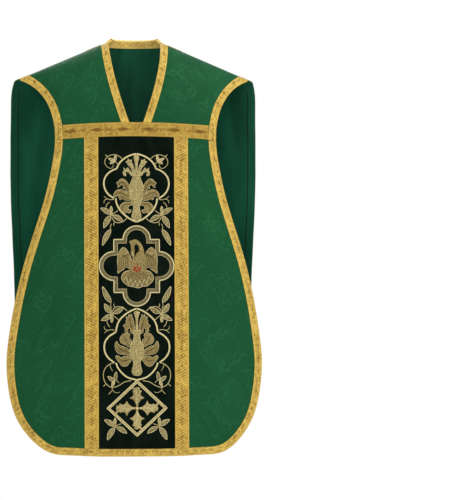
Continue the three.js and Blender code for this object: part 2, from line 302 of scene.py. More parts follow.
def armhole_edge():
    tip = (ARM_TIP, float(shoulder(ARM_TIP)) + 4)
    return quad(tip, (WAIST_HALF + 15, tip[1] - 27), (WAIST_HALF + 1, CHEST_TOP - 16))


def neck_edge():
    return quad((NECK_HALF - 1, NECK_HEIGHT + 14), (NECK_HALF - 4, 1008), (NECK_POINT + 19, SEAM))


def sag(x):
    """How far the chest galloon lies below its middle."""
    return 9 * (np.asarray(x, float) / WAIST_HALF) ** 2


def chest_line(height, half, count=41):
    """A level line over the chest, which sags to its sides."""
    x = np.linspace(-half, half, count)
    return pairs(x, height - sag(x))


def clip_to_ridge(poly, step):
    """The part of a closed outline that lies under the ridge, its top edge following the ridge."""
    p = resample(poly, step, closed=True)
    over = p[:, 1] > ridge(p[:, 0]) + 1e-6
    if not over.any():
        return p
    first = next(i for i in range(len(p)) if over[i - 1] and not over[i])
    p, over = np.roll(p, -first, 0), np.roll(over, -first)
    out, n, i = [], len(p), 0

    def crossing(a, b):
        lo, hi = 0.0, 1.0
        for _ in range(30):
            m = (lo + hi) / 2
            q = a + (b - a) * m
            if q[1] > ridge(q[0]):
                hi = m
            else:
                lo = m
        return a + (b - a) * lo

    while i < n:
        if not over[i]:
            out.append(p[i])
            i += 1
            continue
        j = i
        while j < n and over[j]:
            j += 1
        leave = crossing(p[i - 1], p[i])
        enter = crossing(p[j % n], p[j - 1])
        count = max(2, int(abs(enter[0] - leave[0]) / step) + 1)
        x = np.linspace(leave[0], enter[0], count)
        out.extend(pairs(x, ridge(x)))
        i = j
    p = np.array(out)
    gap = np.linalg.norm(p - np.roll(p, 1, 0), axis=1)
    return p[gap > 0.3]


# ---- meshes ------------------------------------------------------------------
def inside(points, poly):
    """Which points lie inside a closed outline."""
    x, y = points[:, 0][:, None], points[:, 1][:, None]
    a, b = poly, np.roll(poly, -1, 0)
    hit = (a[:, 1] > y) != (b[:, 1] > y)
    with np.errstate(divide="ignore", invalid="ignore"):
        cut = (b[:, 0] - a[:, 0]) * (y - a[:, 1]) / (b[:, 1] - a[:, 1]) + a[:, 0]
    return (hit & (x < cut)).sum(1) % 2 == 1


def nearest(points, line, closed=False):
    """Distance from a line, and distance along it to the nearest place."""
    a = line if closed else line[:-1]
    b = np.roll(line, -1, 0) if closed else line[1:]
    d = b - a
    size = np.maximum((d**2).sum(1), 1e-12)
    start = np.concatenate([[0], np.cumsum(np.sqrt(size))])[:-1]
    off, along = np.empty(len(points)), np.empty(len(points))
    for i in range(0, len(points), 2000):
        q = points[i : i + 2000, None]
        t = np.clip(((q - a) * d).sum(2) / size, 0, 1)
        far = np.linalg.norm(q - (a + d * t[..., None]), axis=2)
        k = far.argmin(1)
        rows = np.arange(len(k))
        off[i : i + 2000] = far[rows, k]
        along[i : i + 2000] = start[k] + t[rows, k] * np.sqrt(size[k])
    return off, along


def triangles(poly, extra):
    """Delaunay triangles inside a closed outline, with extra points inside it."""
    points = np.vstack([poly, extra]) / 100
    found = delaunay_2d_cdt([Vector(p) for p in points], [], [list(range(len(poly)))], 1, 1e-7)
    origin = [o[0] if o else -1 for o in found[3]]
    faces = [[origin[i] for i in f] for f in found[2]]
    return np.array([f for f in faces if min(f) >= 0])


class Shape:
    """Vertices, faces, a material for each face and a UV for each vertex."""

    def __init__(self):
        self.v, self.f, self.m, self.uv, self.n = [], [], [], [], 0

    def add(self, verts, faces, uv, material=0):
        self.v.append(np.asarray(verts, float))
        self.uv.append(np.broadcast_to(np.asarray(uv, float), (len(verts), 2)))
        self.f.extend([[int(i) + self.n for i in f] for f in faces])
        self.m.extend([material] * len(faces))
        self.n += len(verts)

    def build(self, name, materials, sharp=50):
        mesh = bpy.data.meshes.new(name)
        mesh.from_pydata(np.concatenate(self.v).tolist(), [], self.f)
        uv = np.concatenate(self.uv)
        layer = mesh.uv_layers.new(name="UVMap")
        loops = np.zeros(len(mesh.loops), np.int32)
        mesh.loops.foreach_get("vertex_index", loops)
        layer.data.foreach_set("uv", uv[loops].astype(np.float32).ravel())
        for m in materials:
            mesh.materials.append(m)
        mesh.polygons.foreach_set("material_index", np.array(self.m, np.int32))
        mesh.shade_smooth()
        mesh.set_sharp_from_angle(angle=math.radians(sharp))
        mesh.update()
        obj = bpy.data.objects.new(name, mesh)
        bpy.context.scene.collection.objects.link(obj)
        return obj


def closed_shell(shape, side, x, z, faces, low, high, uv, material=0):
    """A thin solid: the triangles at two distances out from the surface, joined round the rim."""
    n = len(x)
    verts = np.vstack([lift(side, x, z, high), lift(side, x, z, low)])
    edges = {}
    for f in faces:
        for a, b in ((f[0], f[1]), (f[1], f[2]), (f[2], f[0])):
            edges[(a, b)] = edges.get((a, b), 0) + 1
    rim = [(a, b) for a, b in edges if (b, a) not in edges]
    top = faces if side is FRONT else faces[:, ::-1]
    quads = [(b, a, a + n, b + n) if side is FRONT else (a, b, b + n, a + n) for a, b in rim]
    shape.add(verts, [*top, *(top[:, ::-1] + n), *quads], np.vstack([uv, uv]), material)


def cloth(side, outline, spacing):
    """Points x, z and triangles over an outline, the flat cloth's coordinates, and its flat area."""
    poly = clip_to_ridge(outline, spacing * RIM_STEP)
    s = to_s(side, poly[:, 0], poly[:, 1])
    flat = pairs(poly[:, 0], -arc(side, poly[:, 0], s))
    all_s = np.linspace(0, 2, 400)
    middle = arc(side, np.full(len(all_s), 200.0), all_s)
    count = int(middle[-1] / (spacing * ROW_STEP))
    rows = np.interp(np.arange(1, count) * spacing * ROW_STEP, middle, all_s)
    columns = np.arange(poly[:, 0].min(), poly[:, 0].max(), spacing)
    x = (columns[None] + (np.arange(len(rows)) % 2 * spacing / 2)[:, None]).ravel()
    s_in = np.repeat(rows, len(columns))
    grid = pairs(x, -arc(side, x, s_in))
    ok = inside(grid, flat)
    ok[ok] = nearest(grid[ok], flat, closed=True)[0] > spacing * 0.55
    grid, x, s_in = grid[ok], x[ok], s_in[ok]
    faces = triangles(flat, grid)
    z = np.concatenate([poly[:, 1], surface(side, x, s_in)[:, 2]])
    x = np.concatenate([poly[:, 0], x])
    cut = np.roll(flat, -1, 0)
    area = abs((flat[:, 0] * cut[:, 1] - cut[:, 0] * flat[:, 1]).sum()) / 2e6
    return x, z, faces, np.vstack([flat, grid]), area


def lengths(line):
    """How far along a line each of its points is."""
    return np.concatenate([[0], np.cumsum(np.linalg.norm(np.diff(line, axis=0), axis=1))])


def tube_faces(n, m, closed=False, turned=False):
    """Faces over n rings of m points each, with end caps unless the tube is closed on itself."""
    i, j = np.meshgrid(np.arange(n if closed else n - 1), np.arange(m), indexing="ij")
    i, j = i.ravel(), j.ravel()
    ahead, beside = (i + 1) % n, (j + 1) % m
    a, b, c, d = i * m + j, i * m + beside, ahead * m + beside, ahead * m + j
    quads = np.stack([a, d, c, b] if turned else [a, b, c, d], 1)
    ends = [] if closed else [np.arange(m)[::-1], np.arange(m) + (n - 1) * m]
    return [*quads, *(e[::-1] if turned else e for e in ends)]


def sweep(shape, side, path, section, material=0):
    """A section of (distance in from the path, distance out from the wearer) run along a path."""
    path = np.array(path, float)
    d = unit(np.gradient(path, axis=0))
    v, off = np.array(section, float).T
    x = path[:, :1] + d[:, 1:] * v
    z = path[:, 1:] - d[:, :1] * v
    n, m = x.shape
    verts = lift(side, x, z, np.broadcast_to(off, x.shape)).reshape(-1, 3)
    uv = pairs(np.repeat(lengths(path), m), np.tile(v, n))
    shape.add(verts, tube_faces(n, m), uv, material)


# ---- materials ---------------------------------------------------------------
def rgb(r, g, b):
    """A colour from its values of 0 to 255."""
    return tuple(((c / 255 + 0.055) / 1.055) ** 2.4 if c > 10 else c / 255 / 12.92 for c in (r, g, b)) + (1,)


class Value:
    """A number inside a material. Each step of arithmetic with it is one Math node."""

    def __init__(self, look, socket):
        self.look, self.socket = look, socket

    def __add__(self, other):
        return self.look.do("ADD", self, other)

    def __sub__(self, other):
        return self.look.do("SUBTRACT", self, other)

    def __mul__(self, other):
        return self.look.do("MULTIPLY", self, other)

    def __abs__(self):
        return self.look.do("ABSOLUTE", self)

    def scaled(self, factor, more):
        return self.look.do("MULTIPLY_ADD", self, factor, more)


class Look:
    """A Principled material put together one node at a time. u and v are its UV in millimetres."""

    def __init__(self, name, roughness, specular=0.1, sheen=0.0):
        self.material = bpy.data.materials.new(name)
        self.material.use_nodes = True
        self.tree = self.material.node_tree
        self.main = self.tree.nodes["Principled BSDF"]
        self.put("Roughness", roughness)
        self.put("Specular IOR Level", specular)
        self.put("Sheen Weight", sheen)
        self.put("Sheen Roughness", 0.4)
        uv = self.tree.nodes.new("ShaderNodeUVMap")
        uv.uv_map = "UVMap"
        self.uv = uv.outputs[0]
        split = self.node("ShaderNodeSeparateXYZ", self.uv)
        self.u, self.v = Value(self, split.outputs[0]), Value(self, split.outputs[1])

    def put(self, socket, value):
        """Link or set a socket; a name means one of the Principled node's."""
        if isinstance(socket, str):
            socket = self.main.inputs[socket]
        if isinstance(value, Value):
            value = value.socket
        if isinstance(value, bpy.types.NodeSocket):
            self.tree.links.new(value, socket)
        else:
            socket.default_value = value

    def node(self, kind, *values, **settings):
        n = self.tree.nodes.new(kind)
        for key, setting in settings.items():
            setattr(n, key, setting)
        for socket, value in zip(n.inputs, values):
            self.put(socket, value)
        return n

    def do(self, operation, *values):
        return Value(self, self.node("ShaderNodeMath", *values, operation=operation).outputs[0])

    def ramp(self, value, low, high, to_low=0.0, to_high=1.0):
        kind = "ShaderNodeMapRange"
        n = self.node(kind, value, low, high, to_low, to_high, interpolation_type="SMOOTHSTEP")
        return Value(self, n.outputs[0])

    def mix(self, share, a, b):
        n = self.node("ShaderNodeMix", share, data_type="RGBA")
        self.put(n.inputs[6], a)
        self.put(n.inputs[7], b)
        return Value(self, n.outputs[2])

    def paint(self, share, a, b):
        self.put("Base Color", self.mix(share, a, b))

    def noise(self, size, detail=2.0, stretch=None, where=None):
        n = self.tree.nodes.new("ShaderNodeTexNoise")
        n.inputs["Scale"].default_value = 1 / size
        n.inputs["Detail"].default_value = detail
        where = where or self.uv
        if stretch:
            m = self.node("ShaderNodeMapping", where)
            m.inputs["Scale"].default_value = stretch
            where = m.outputs[0]
        self.put(n.inputs["Vector"], where)
        return Value(self, n.outputs[0])

    def wave(self, value, pitch):
        """-1 to 1, once every pitch."""
        return self.do("SINE", value.scaled(2 * math.pi / pitch, 0.0))

    def tile(self, value, pitch, shift=0.0):
        """Distance from the middle of the repeat that a value falls in."""
        return (self.do("FRACT", value.scaled(1 / pitch, shift)) - 0.5) * pitch

    def bump(self, height, depth, strength=1.0):
        """Depth is in millimetres. Bumps add up."""
        n = self.tree.nodes.new("ShaderNodeBump")
        n.inputs["Distance"].default_value = depth / 1000
        n.inputs["Strength"].default_value = strength
        self.put(n.inputs["Height"], height)
        old = self.main.inputs["Normal"]
        if old.is_linked:
            self.put(n.inputs["Normal"], old.links[0].from_socket)
        self.put(old, n.outputs[0])


def damask_look():
    """Green damask: rosettes and scrolls drawn in thin satin lines on a duller ground."""
    k = Look("damask", 0.55, 0.05, 0.05)
    stray = k.noise(14).scaled(7.0, -3.5)
    figure = None
    for shift in (0.0, 0.5, 0.28):
        x = k.tile(k.u, 118, shift + 0.25) + stray
        y = k.tile(k.v, 160, shift + 0.1) * 0.8 + stray
        r = k.do("SQRT", x * x + y * y)
        turn = k.do("ARCTAN2", y, x)
        petal = k.do("COSINE", turn * 5.0).scaled(3.0, 9.0)
        rosette = k.ramp(abs(r - petal), 2.2, 0.8)
        ring = k.ramp(abs(r - 21.0), 1.9, 0.7)
        lobe = k.do("COSINE", turn * 4.0).scaled(7.0, 36.0)
        vine = k.ramp(abs(r - lobe), 2.4, 0.9)
        leafy = k.ramp(abs(r - 29.0), 4.5, 3.0) * k.ramp(k.do("COSINE", turn * 12.0), 0.3, 0.7)
        drawn = k.do("MAXIMUM", k.do("MAXIMUM", rosette, ring), k.do("MAXIMUM", vine, leafy))
        figure = drawn if figure is None else k.do("MAXIMUM", figure, drawn)
    figure = figure * k.ramp(k.noise(45, 3), 0.38, 0.62)
    broad = k.noise(170, 3)
    ground = k.mix(broad, rgb(11, 61, 33), rgb(22, 80, 46))
    satin = k.mix(broad, rgb(21, 79, 46), rgb(32, 95, 59))
    tone = k.mix(figure * k.ramp(k.noise(2.6), 0.35, 0.65, 0.5, 1.0), ground, satin)
    grain = k.mix(k.ramp(k.noise(3.5, 3), 0.3, 0.7), rgb(9, 54, 29), tone)
    k.paint(0.5, grain, tone)
    k.put("Roughness", k.ramp(figure, 0, 1, 0.6, 0.45))
    k.bump(k.wave(k.u + k.v, 1.1) + k.wave(k.v, 0.9), 0.05, 0.5)
    k.bump(figure, 0.08, 0.5)
    k.bump(k.noise(40), 2.4, 0.3)
    k.bump(k.noise(11, 4), 0.7, 0.3)
    return k.material


def lining_look():
    """Dark green satin lining with soft upright fold lines, which show as painted sheen and painted shade in
    its colour and as a bump.
    """
    k = Look("lining", 0.42, 0.05, 0.03)
    folds_and_painted_sheen = k.noise(60, 3, (1.0, 0.22, 1.0))
    # Painted sheen and shade: the base colour turns lighter and darker along each fold.
    k.paint(k.ramp(folds_and_painted_sheen, 0.3, 0.7), rgb(14, 58, 42), rgb(22, 79, 57))
    k.bump(folds_and_painted_sheen, 3.0, 0.5)
    k.bump(k.wave(k.u + k.v, 0.7), 0.02, 0.4)
    return k.material


def canvas_look():
    """Dyed canvas in a plain weave."""
    k = Look("interlining", 0.9)
    k.paint(k.noise(4), rgb(30, 66, 46), rgb(44, 84, 60))
    k.bump(k.wave(k.u, 1.4) + k.wave(k.v, 1.4), 0.1)
    return k.material


def velvet_look():
    """Black-green velvet: a short pile, brushed unevenly."""
    k = Look("velvet", 0.95, 0.0, 0.07)
    k.put("Sheen Tint", rgb(70, 110, 80))
    k.put("Sheen Roughness", 0.5)
    brushed = k.noise(38, 4, (1.0, 0.5, 1.0))
    k.paint(k.ramp(brushed, 0.3, 0.7), rgb(7, 13, 9), rgb(13, 21, 15))
    k.bump(k.noise(0.8), 0.4, 0.6)
    k.bump(brushed, 0.8, 0.4)
    return k.material


def braid_look(name, width, light, dark, border, patches=False):
    """Metal-thread braid: u runs along it and v across. patches: brown lozenges down its middle."""
    k = Look(name, 0.5)
    half = width / 2
    across = abs(k.v - half)
    rim = k.ramp(across, half - border - 0.5, half - border + 0.5)
    cord = k.ramp(abs(across - (half - border)), 0.9, 0.3)
    repeat = (width - 2 * border) / 5.5 * 2.8
    one, two = abs(k.wave(k.u + k.v, repeat)), abs(k.wave(k.u - k.v, repeat))
    dots = k.ramp(one * two, 0.45, 0.9)
    lines = k.ramp(k.do("MINIMUM", one, two), 0.3, 0.05)
    twill = k.wave(k.u + k.v, 2.6)
    worn = k.ramp(k.noise(30, 2, (1.0, 0.1, 1.0)), 0.35, 0.6)
    middle = k.ramp(across, half * 0.32, half * 0.1) * worn
    pattern = dots * 0.7 - lines * 0.4 + twill * 0.14 - middle * 0.35
    if patches:
        near = abs(k.tile(k.u, 68.0, 0.02)) + across * 3.0
        inner = k.ramp(k.wave(k.u - k.v, 5.5), -0.6, 0.6)
        pattern = pattern - k.ramp(near, 19.5, 15.5) * inner.scaled(1.2, 0.6)
    blotches = k.noise(24.0, 2, (1.0, 0.6, 1.0))
    pattern = pattern + k.noise(7.0, 4) * 2.8 + blotches * 1.4 - 2.0
    body = k.mix(k.ramp(pattern, -0.85, 0.9), dark, light)
    middling = tuple(0.6 * a + 0.4 * b for a, b in zip(light, dark))
    border_tone = k.mix(k.ramp(k.noise(5, 3), 0.3, 0.7), middling, light)
    k.paint(rim * 0.7, body, border_tone)
    k.put("Roughness", k.ramp(pattern, -0.5, 0.8, 0.62, 0.42))
    k.bump(cord * 1.2 + pattern * 0.8, 0.35, 0.8)
    k.bump(k.wave(k.u, 0.9) + twill * 0.8, 0.1, 0.6)
    return k.material


def stitched_look(name, low, high, pitch=1.3, roughness=0.55, depth=0.22):
    """Laid stitches: u counts across the threads in millimetres, v is a tone for each shape."""
    k = Look(name, roughness)
    place = k.tree.nodes.new("ShaderNodeTexCoord").outputs["Object"]
    mottle = k.noise(1 / 330, where=place)
    threads = k.wave(k.u, pitch)
    tone = threads * 0.2 + (mottle - 0.5) * 3.2 + k.do("FRACT", k.v) * 0.3
    k.paint(k.ramp(tone, -0.75, 1.05), low, high)
    k.bump(threads, depth, 0.8)
    return k.material


def cord_look(name, low, high):
    """Twisted cord: u runs along it and v round it."""
    k = Look(name, 0.5)
    twist = k.do("SINE", k.u * (2 * math.pi / 1.7) + k.v)
    k.paint(k.ramp(twist, -1, 1), low, high)
    k.bump(twist, 0.25, 0.8)
    return k.material


DAMASK_LOOK = damask_look()
LINING_LOOK = lining_look()
CANVAS_LOOK = canvas_look()
VELVET_LOOK = velvet_look()
CHEST_LOOK = braid_look("chest_galloon", WIDE, rgb(178, 147, 65), rgb(104, 74, 24), 4.0, True)
WIDE_LOOK = braid_look("wide_galloon", WIDE, rgb(196, 164, 75), rgb(106, 77, 24), 4.0)
EDGE_LOOK = braid_look("edge_galloon", EDGE, rgb(206, 174, 83), rgb(110, 81, 28), 3.0)
# The collar galloon is the edge galloon painted brighter: a painted highlight that lifts the shade inside the
# back neck.
COLLAR_PAINTED_BRIGHT_LOOK = braid_look("collar_galloon_painted_bright", EDGE, rgb(236, 204, 112), rgb(166, 132, 62), 3.0)
STITCH_LOOK = cord_look("lining_thread", rgb(5, 22, 16), rgb(9, 30, 22))
THREADS = [
    stitched_look("khaki_embroidery", rgb(82, 69, 36), rgb(154, 136, 84)),
    stitched_look("pale_embroidery", rgb(100, 86, 46), rgb(188, 172, 118)),
    stitched_look("laid_gold_band", rgb(66, 60, 40), rgb(124, 114, 78), 1.6),
    cord_look("cream_cord", rgb(166, 152, 102), rgb(222, 210, 160)),
    cord_look("gold_cord", rgb(138, 125, 80), rgb(196, 182, 128)),
    stitched_look("white_silk", rgb(205, 212, 204), rgb(244, 247, 240), 1.5, 0.6, 0.12),
    stitched_look("red_silk", rgb(118, 12, 12), rgb(178, 30, 24)),
    stitched_look("crimson_silk", rgb(76, 10, 22), rgb(118, 20, 36)),
    cord_look("brown_cord", rgb(44, 36, 18), rgb(86, 72, 42)),
    cord_look("plum_cord", rgb(36, 17, 26), rgb(58, 30, 42)),
]
KHAKI, BRIGHT, BAND, CREAM, STEM, WHITE, RED, CRIMSON, BROWN, PLUM = range(len(THREADS))


# ---- how every piece is placed -----------------------------------------------
def bind(obj, body, node):
    """Let a piece ride on the root, or, for the front, bake its placement into its mesh; either way hide its
    CAD part.
    """
    if body == "front":
        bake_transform(obj)
    else:
        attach(obj, "root")
    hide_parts(node)


def sheet_piece(name, side, body, outline, layer, spacing, look, node):
    """One layer of cloth over an outline."""
    x, z, faces, flat, area = cloth(side, outline, spacing)
    shape = Shape()
    closed_shell(shape, side, x, z, faces, *layer, flat)
    obj = shape.build(name, [look])
    bind(obj, body, node)


# ---- cloth and braids ---------------------------------------------------------
def hem_at(edge, x):
    """Height of the hem galloon's upper edge."""
    line = inset(edge, EDGE + GAP)
    low = line[line[:, 1] < 150]
    low = low[np.argsort(low[:, 0])]
    return np.interp(np.abs(x), low[:, 0], low[:, 1])


def side_at(edge, z):
    """How far out the edge galloon's inner edge is."""
    line = inset(edge, EDGE + GAP)
    line = line[line[:, 1] > 250][::-1]
    return float(np.interp(z, line[:, 1], line[:, 0]))


def under_ridge(path):
    """The part of a path that lies below the ridge."""
    return path[path[:, 1] < ridge(path[:, 0]) - 0.2]


def over_chest(line, height):
    """The part of a downward line above a sagging chest line, ending on it."""
    keep = line[line[:, 1] > height - sag(line[:, 0])]
    end = line[len(keep)]
    t = (keep[-1, 1] - height + sag(end[0])) / (keep[-1, 1] - end[1])
    return np.vstack([keep, keep[-1] + (end - keep[-1]) * t])


def three_layers(name, side, body, outline, spacing):
    """Lining, interlining and damask over one outline. name is where, or where_end."""
    where, _, end = name.partition("_")
    tail = "_" + end if end else ""
    for kind, heights, look, step, panel in (("lining", LINING, LINING_LOOK, 9, "lining"),
                                             ("interlining", INTERLINING, CANVAS_LOOK, 14, "interlining"),
                                             ("damask", DAMASK, DAMASK_LOOK, spacing, "panel")):
        sheet_piece(f"{where}_{kind}{tail}_cloth", side, body, outline, heights, step, look,
                    f"{where}_{panel}{tail}")


def braid(name, side, body, parts, width, look, node, rims=(), level=False):
    """A braid of one or more lengths, each an outline and the path that its pattern runs along.

    Its rims are turned over the cloth's edge. level: the weave stays upright.
    """
    shape, area = Shape(), 0.0
    for outline, path in parts:
        x, z, faces, flat, part_area = cloth(side, outline, FINE)
        line = pairs(path[:, 0], -arc(side, path[:, 0], to_s(side, *path.T)))
        if len(path) == 2:
            d = (path[1] - path[0]) / np.linalg.norm(path[1] - path[0])
            from_start = flat - line[0]
            along, off = from_start @ d, np.abs(from_start @ [-d[1], d[0]])
        elif level:
            along, off = flat[:, 0], np.interp(flat[:, 0], *line.T) - flat[:, 1]
        else:
            off, along = nearest(flat, line)
        high = np.full(len(x), TRIM[1])
        high[: len(clip_to_ridge(outline, FINE * RIM_STEP))] -= 0.45
        closed_shell(shape, side, x, z, faces, TRIM[0], high, pairs(along, off))
        area += part_area
    over = [(1.5, 5.0), (0.8, 4.95), (0.25, 4.6), (0, 4.0)]
    under = [(0, 0.9), (0.3, 0.3), (0.9, 0.1), (1.45, 0.1)]
    gold_and_lining = [[*over, (0.2, 3.75), (1.5, 3.75)], [(1.5, 3.7), (0.1, 3.6), *under]]
    for rim in rims:
        for material, section in enumerate([over + under] if side is FRONT else gold_and_lining):
            sweep(shape, side, resample(rim, 4), section, material)
    obj = shape.build(name, [look, LINING_LOOK])
    bind(obj, body, node)
    area * 1000 / width
    area * 0.999


def edging(path):
    """The outline of a narrow galloon along an edge."""
    return np.vstack([inset(path, INSET), inset(path, EDGE)[::-1]])


def over_hem(edge, x, top):
    """An outline from a line under the chest galloon down to the hem galloon."""
    low = pairs(x, hem_at(edge, x))
    return np.vstack([pairs(x, top - sag(x)), low[::-1]])


def make_front():
    """The front below the chest seam: cloth, velvet column and galloons."""
    edge = front_edge()
    half = inset(edge, INSET)
    three_layers("front", FRONT, "front", both([(half[0, 0], SEAM), *half]), 7)
    path = both(edge)
    braid("front_edge_braid", FRONT, "front", [(edging(path), path)], EDGE, EDGE_LOOK, "front_edge_galloon",
        [path])
    top = CHEST_BOTTOM - GAP
    x = np.linspace(-FRONT_VELVET, FRONT_VELVET, 61)
    sheet_piece("front_velvet_cloth", FRONT, "front", over_hem(edge, x, top), TRIM, 6, VELVET_LOOK,
                "front_orphrey_velvet")
    for end, m in ENDS:
        x = np.linspace(FRONT_VELVET + GAP, FRONT_VELVET + GAP + WIDE, 9) * m
        path = np.array([(x[0], CHEST_BOTTOM), (x[0], hem_at(edge, x[0]))])
        braid(f"front_orphrey_braid_{end}", FRONT, "front", [(over_hem(edge, x, top), path)], WIDE, WIDE_LOOK,
              f"front_orphrey_galloon_{end}")


def make_yokes():
    """The two yokes with their armhole and neck galloons, and the galloon over the chest seam."""
    arm, neck = armhole_edge(), neck_edge()
    arm_path = np.vstack([arm, [(WAIST_HALF, SWING - 0.2)]])
    outer, inner = (line[line[:, 1] > SEAM + GAP] for line in (inset(arm, INSET), inset(neck, EDGE - INSET)))
    foot = [(outer[-1, 0], SEAM + GAP), (inner[-1, 0], SEAM + GAP)]
    yoke = np.vstack([outer, foot, inner[::-1], [(inner[0, 0], ABOVE), (BEYOND, ABOVE)]])
    neck_out, neck_in, neck_rim = (over_chest(line, CHEST_TOP + GAP)
                                   for line in (neck, inset(neck, EDGE - INSET), inset(neck, EDGE)))
    for end, m in ENDS:
        three_layers(f"yoke_{end}", FRONT, "root", yoke * [m, 1], 5)
        rim = under_ridge(arm_path) * [m, 1]
        braid(f"armhole_braid_{end}", FRONT, "root", [(edging(arm_path) * [m, 1], rim)], EDGE, EDGE_LOOK,
              f"armhole_galloon_{end}", [rim[::m]])
        band = np.vstack([neck_out, neck_in[::-1]]) * [m, 1]
        rim = under_ridge(neck_rim) * [m, 1]
        braid(f"neck_braid_{end}", FRONT, "root", [(band, under_ridge(neck_out) * [m, 1])], EDGE, EDGE_LOOK,
              f"neck_galloon_{end}", [rim[::-m]])
    half = WAIST_HALF - EDGE - GAP
    top, low = chest_line(CHEST_TOP, half), chest_line(CHEST_BOTTOM, half)
    braid("front_chest_braid", FRONT, "root", [(np.vstack([top, low[::-1]]), top)], WIDE, CHEST_LOOK,
          "front_chest_galloon", level=True)


def make_back():
    """The back's cloth, its edge galloon, the velvet cross and the stepped galloons beside it."""
    edge = back_edge()
    half = inset(edge, INSET)
    three_layers("back", BACK, "root", both([(half[0, 0], COLLAR_TOP - 1.5), *half]), 7)
    path = both(edge)
    below = under_ridge(path)
    braid("back_edge_braid", BACK, "root", [(edging(path), below)], EDGE, EDGE_LOOK, "back_edge_galloon",
        [below])
    near_neck = 1085.7
    x = np.linspace(BACK_VELVET, 0, 20)
    arm = [(side_at(edge, z), z) for z in np.linspace(CROSS_TOP, CROSS_BOTTOM, 30)]
    right = [(0, NECK_HEIGHT - GAP), (70, NECK_HEIGHT - GAP), (BACK_VELVET, near_neck + 0.1),
        (BACK_VELVET, STEP_TOP), (STEP_REACH, STEP_TOP), (STEP_REACH, CROSS_TOP), *arm,
        (STEP_REACH, CROSS_BOTTOM), (STEP_REACH, STEP_BOTTOM), (BACK_VELVET, STEP_BOTTOM), *np.stack([x,
        hem_at(edge, x)], 1)]
    left = [(-a, b) for a, b in right[::-1]]
    sheet_piece("back_velvet_cloth", BACK, "root", np.array(right + left[1:-1]), TRIM, 6, VELVET_LOOK,
        "back_orphrey_velvet")

    def steps(level, gap, hem_x):
        """A line that keeps this gap to the cross, from the top down."""
        a, b = BACK_VELVET + gap, STEP_REACH + gap
        if level == "upper":
            tip = side_at(edge, CROSS_TOP)
            return [(a, ABOVE), (a, STEP_TOP + gap), (b, STEP_TOP + gap), (b, CROSS_TOP + gap),
                (tip, CROSS_TOP + gap)]
        foot = side_at(edge, CROSS_BOTTOM)
        return [(foot, CROSS_BOTTOM - gap), (b, CROSS_BOTTOM - gap), (b, STEP_BOTTOM - gap),
            (a, STEP_BOTTOM - gap), (a, float(hem_at(edge, hem_x)))]

    for end, m in ENDS:
        for level in ("upper", "lower"):
            far_x = BACK_VELVET + WIDE + GAP
            near, far = steps(level, GAP, BACK_VELVET), steps(level, WIDE + GAP, far_x)
            parts = []
            for i in range(4):
                a, b, c, d = near[i], near[i + 1], far[i + 1], far[i]
                poly = [a, b, c, d]
                if level == "upper" and i == 0:
                    a = (a[0], near_neck)
                    beside = 97.3
                    poly = [a, b, c, d, (beside, ABOVE), (beside, near_neck - 2)]
                parts.append((np.array(poly) * [m, 1], np.array([a, b]) * [m, 1]))
            braid(f"back_orphrey_braid_{level}_{end}", BACK, "root", parts, WIDE, WIDE_LOOK,
                  f"back_orphrey_galloon_{level}_{end}")


def make_collar():
    """The galloon folded over the back neckline, and its ends along the ridge."""
    shape = Shape()
    low, corner = (NECK_HALF - 21, NECK_HEIGHT), (NECK_HALF + 6, NECK_HEIGHT - 9)
    outline = both([low, corner, (corner[0], COLLAR_TOP - 2)])
    x, z, faces, flat, area = cloth(BACK, outline, FINE)
    uv = pairs(flat[:, 0], COLLAR_TOP - z)
    closed_shell(shape, BACK, x, z, faces, TRIM[0], TRIM[1], uv)
    closed_shell(shape, BACK, x, z, faces, -1.5, -0.3, uv)
    reach = 58.0
    fold = pairs(np.linspace(-reach, reach, 40), np.full(40, COLLAR_TOP))
    section = [(2.0, 5.1), (1.0, 4.95), (0.3, 4.2), (0, 3.0), (0, 0.6), (0.3, -0.6), (1.0, -1.35),
        (2.0, -1.5), (2.0, -0.3), (1.5, 0.4), (1.5, 3.2), (2.0, 3.9)]
    sweep(shape, BACK, fold, section)
    for m in (1, -1):
        x = np.linspace(reach - 3, NECK_HALF - EDGE + 2, 10)
        ring = []
        for y, off in ((-1.2, -1.9), (-1.2, 5.5), (1.0, 5.6), (1.0, -1.9)):
            p = lift(BACK, m * x, np.minimum(ridge(x), COLLAR_TOP - 1.0), np.full(len(x), off))
            p[:, 1] += y / 1000
            ring.append(p)
        verts = np.stack(ring, 1).reshape(-1, 3)
        faces = [f[::-m] for f in tube_faces(len(x), 4)]
        shape.add(verts, faces, pairs(np.repeat(x, 4), np.tile([4.0, 8.0, 10.0, 10.0], len(x))))
    # Its material is the edge galloon painted brighter, a painted highlight against the shade inside the
    # neck.
    obj = shape.build("neck_braid_back", [COLLAR_PAINTED_BRIGHT_LOOK])
    bind(obj, "root", "neck_galloon_back")
    length = 2 * float(np.abs(flat[:, 0]).max()) / 1000
    2 * area / length * 1.08


def make_seam_stitches():
    """The stitched seam of the lining that follows the back's edge, seen from inside."""
    shape = Shape()
    line = under_ridge(inset(both(back_edge()), 19))
    line = resample(line[line[:, 1] < 975], 3.0)
    sweep(shape, BACK, line, [(-1.3, 0.05), (-0.7, -0.4), (0.7, -0.4), (1.3, 0.05)])
    obj = shape.build("back_lining_stitches", [STITCH_LOOK])
    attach(obj, "root")


# ---- embroidery -----------------------------------------------------------------
NEXT_TONE = 0.37
PILE = 5.1
ON_PILE = 5.12
MIRROR = {False: (1,), True: (1, -1)}


def shift(line, distance, closed=False):
    """A line moved to its left, with its corners kept."""
    p = np.array(line, float)
    if closed:
        before, after = p - np.roll(p, 1, 0), np.roll(p, -1, 0) - p
    else:
        d = np.diff(p, axis=0)
        before, after = np.vstack([d[:1], d]), np.vstack([d, d[-1:]])
    middle = unit(before) + unit(after)
    n = pairs(-middle[:, 1], middle[:, 0])
    return p + distance * 2 * n / np.maximum((n**2).sum(1, keepdims=True), 0.6)


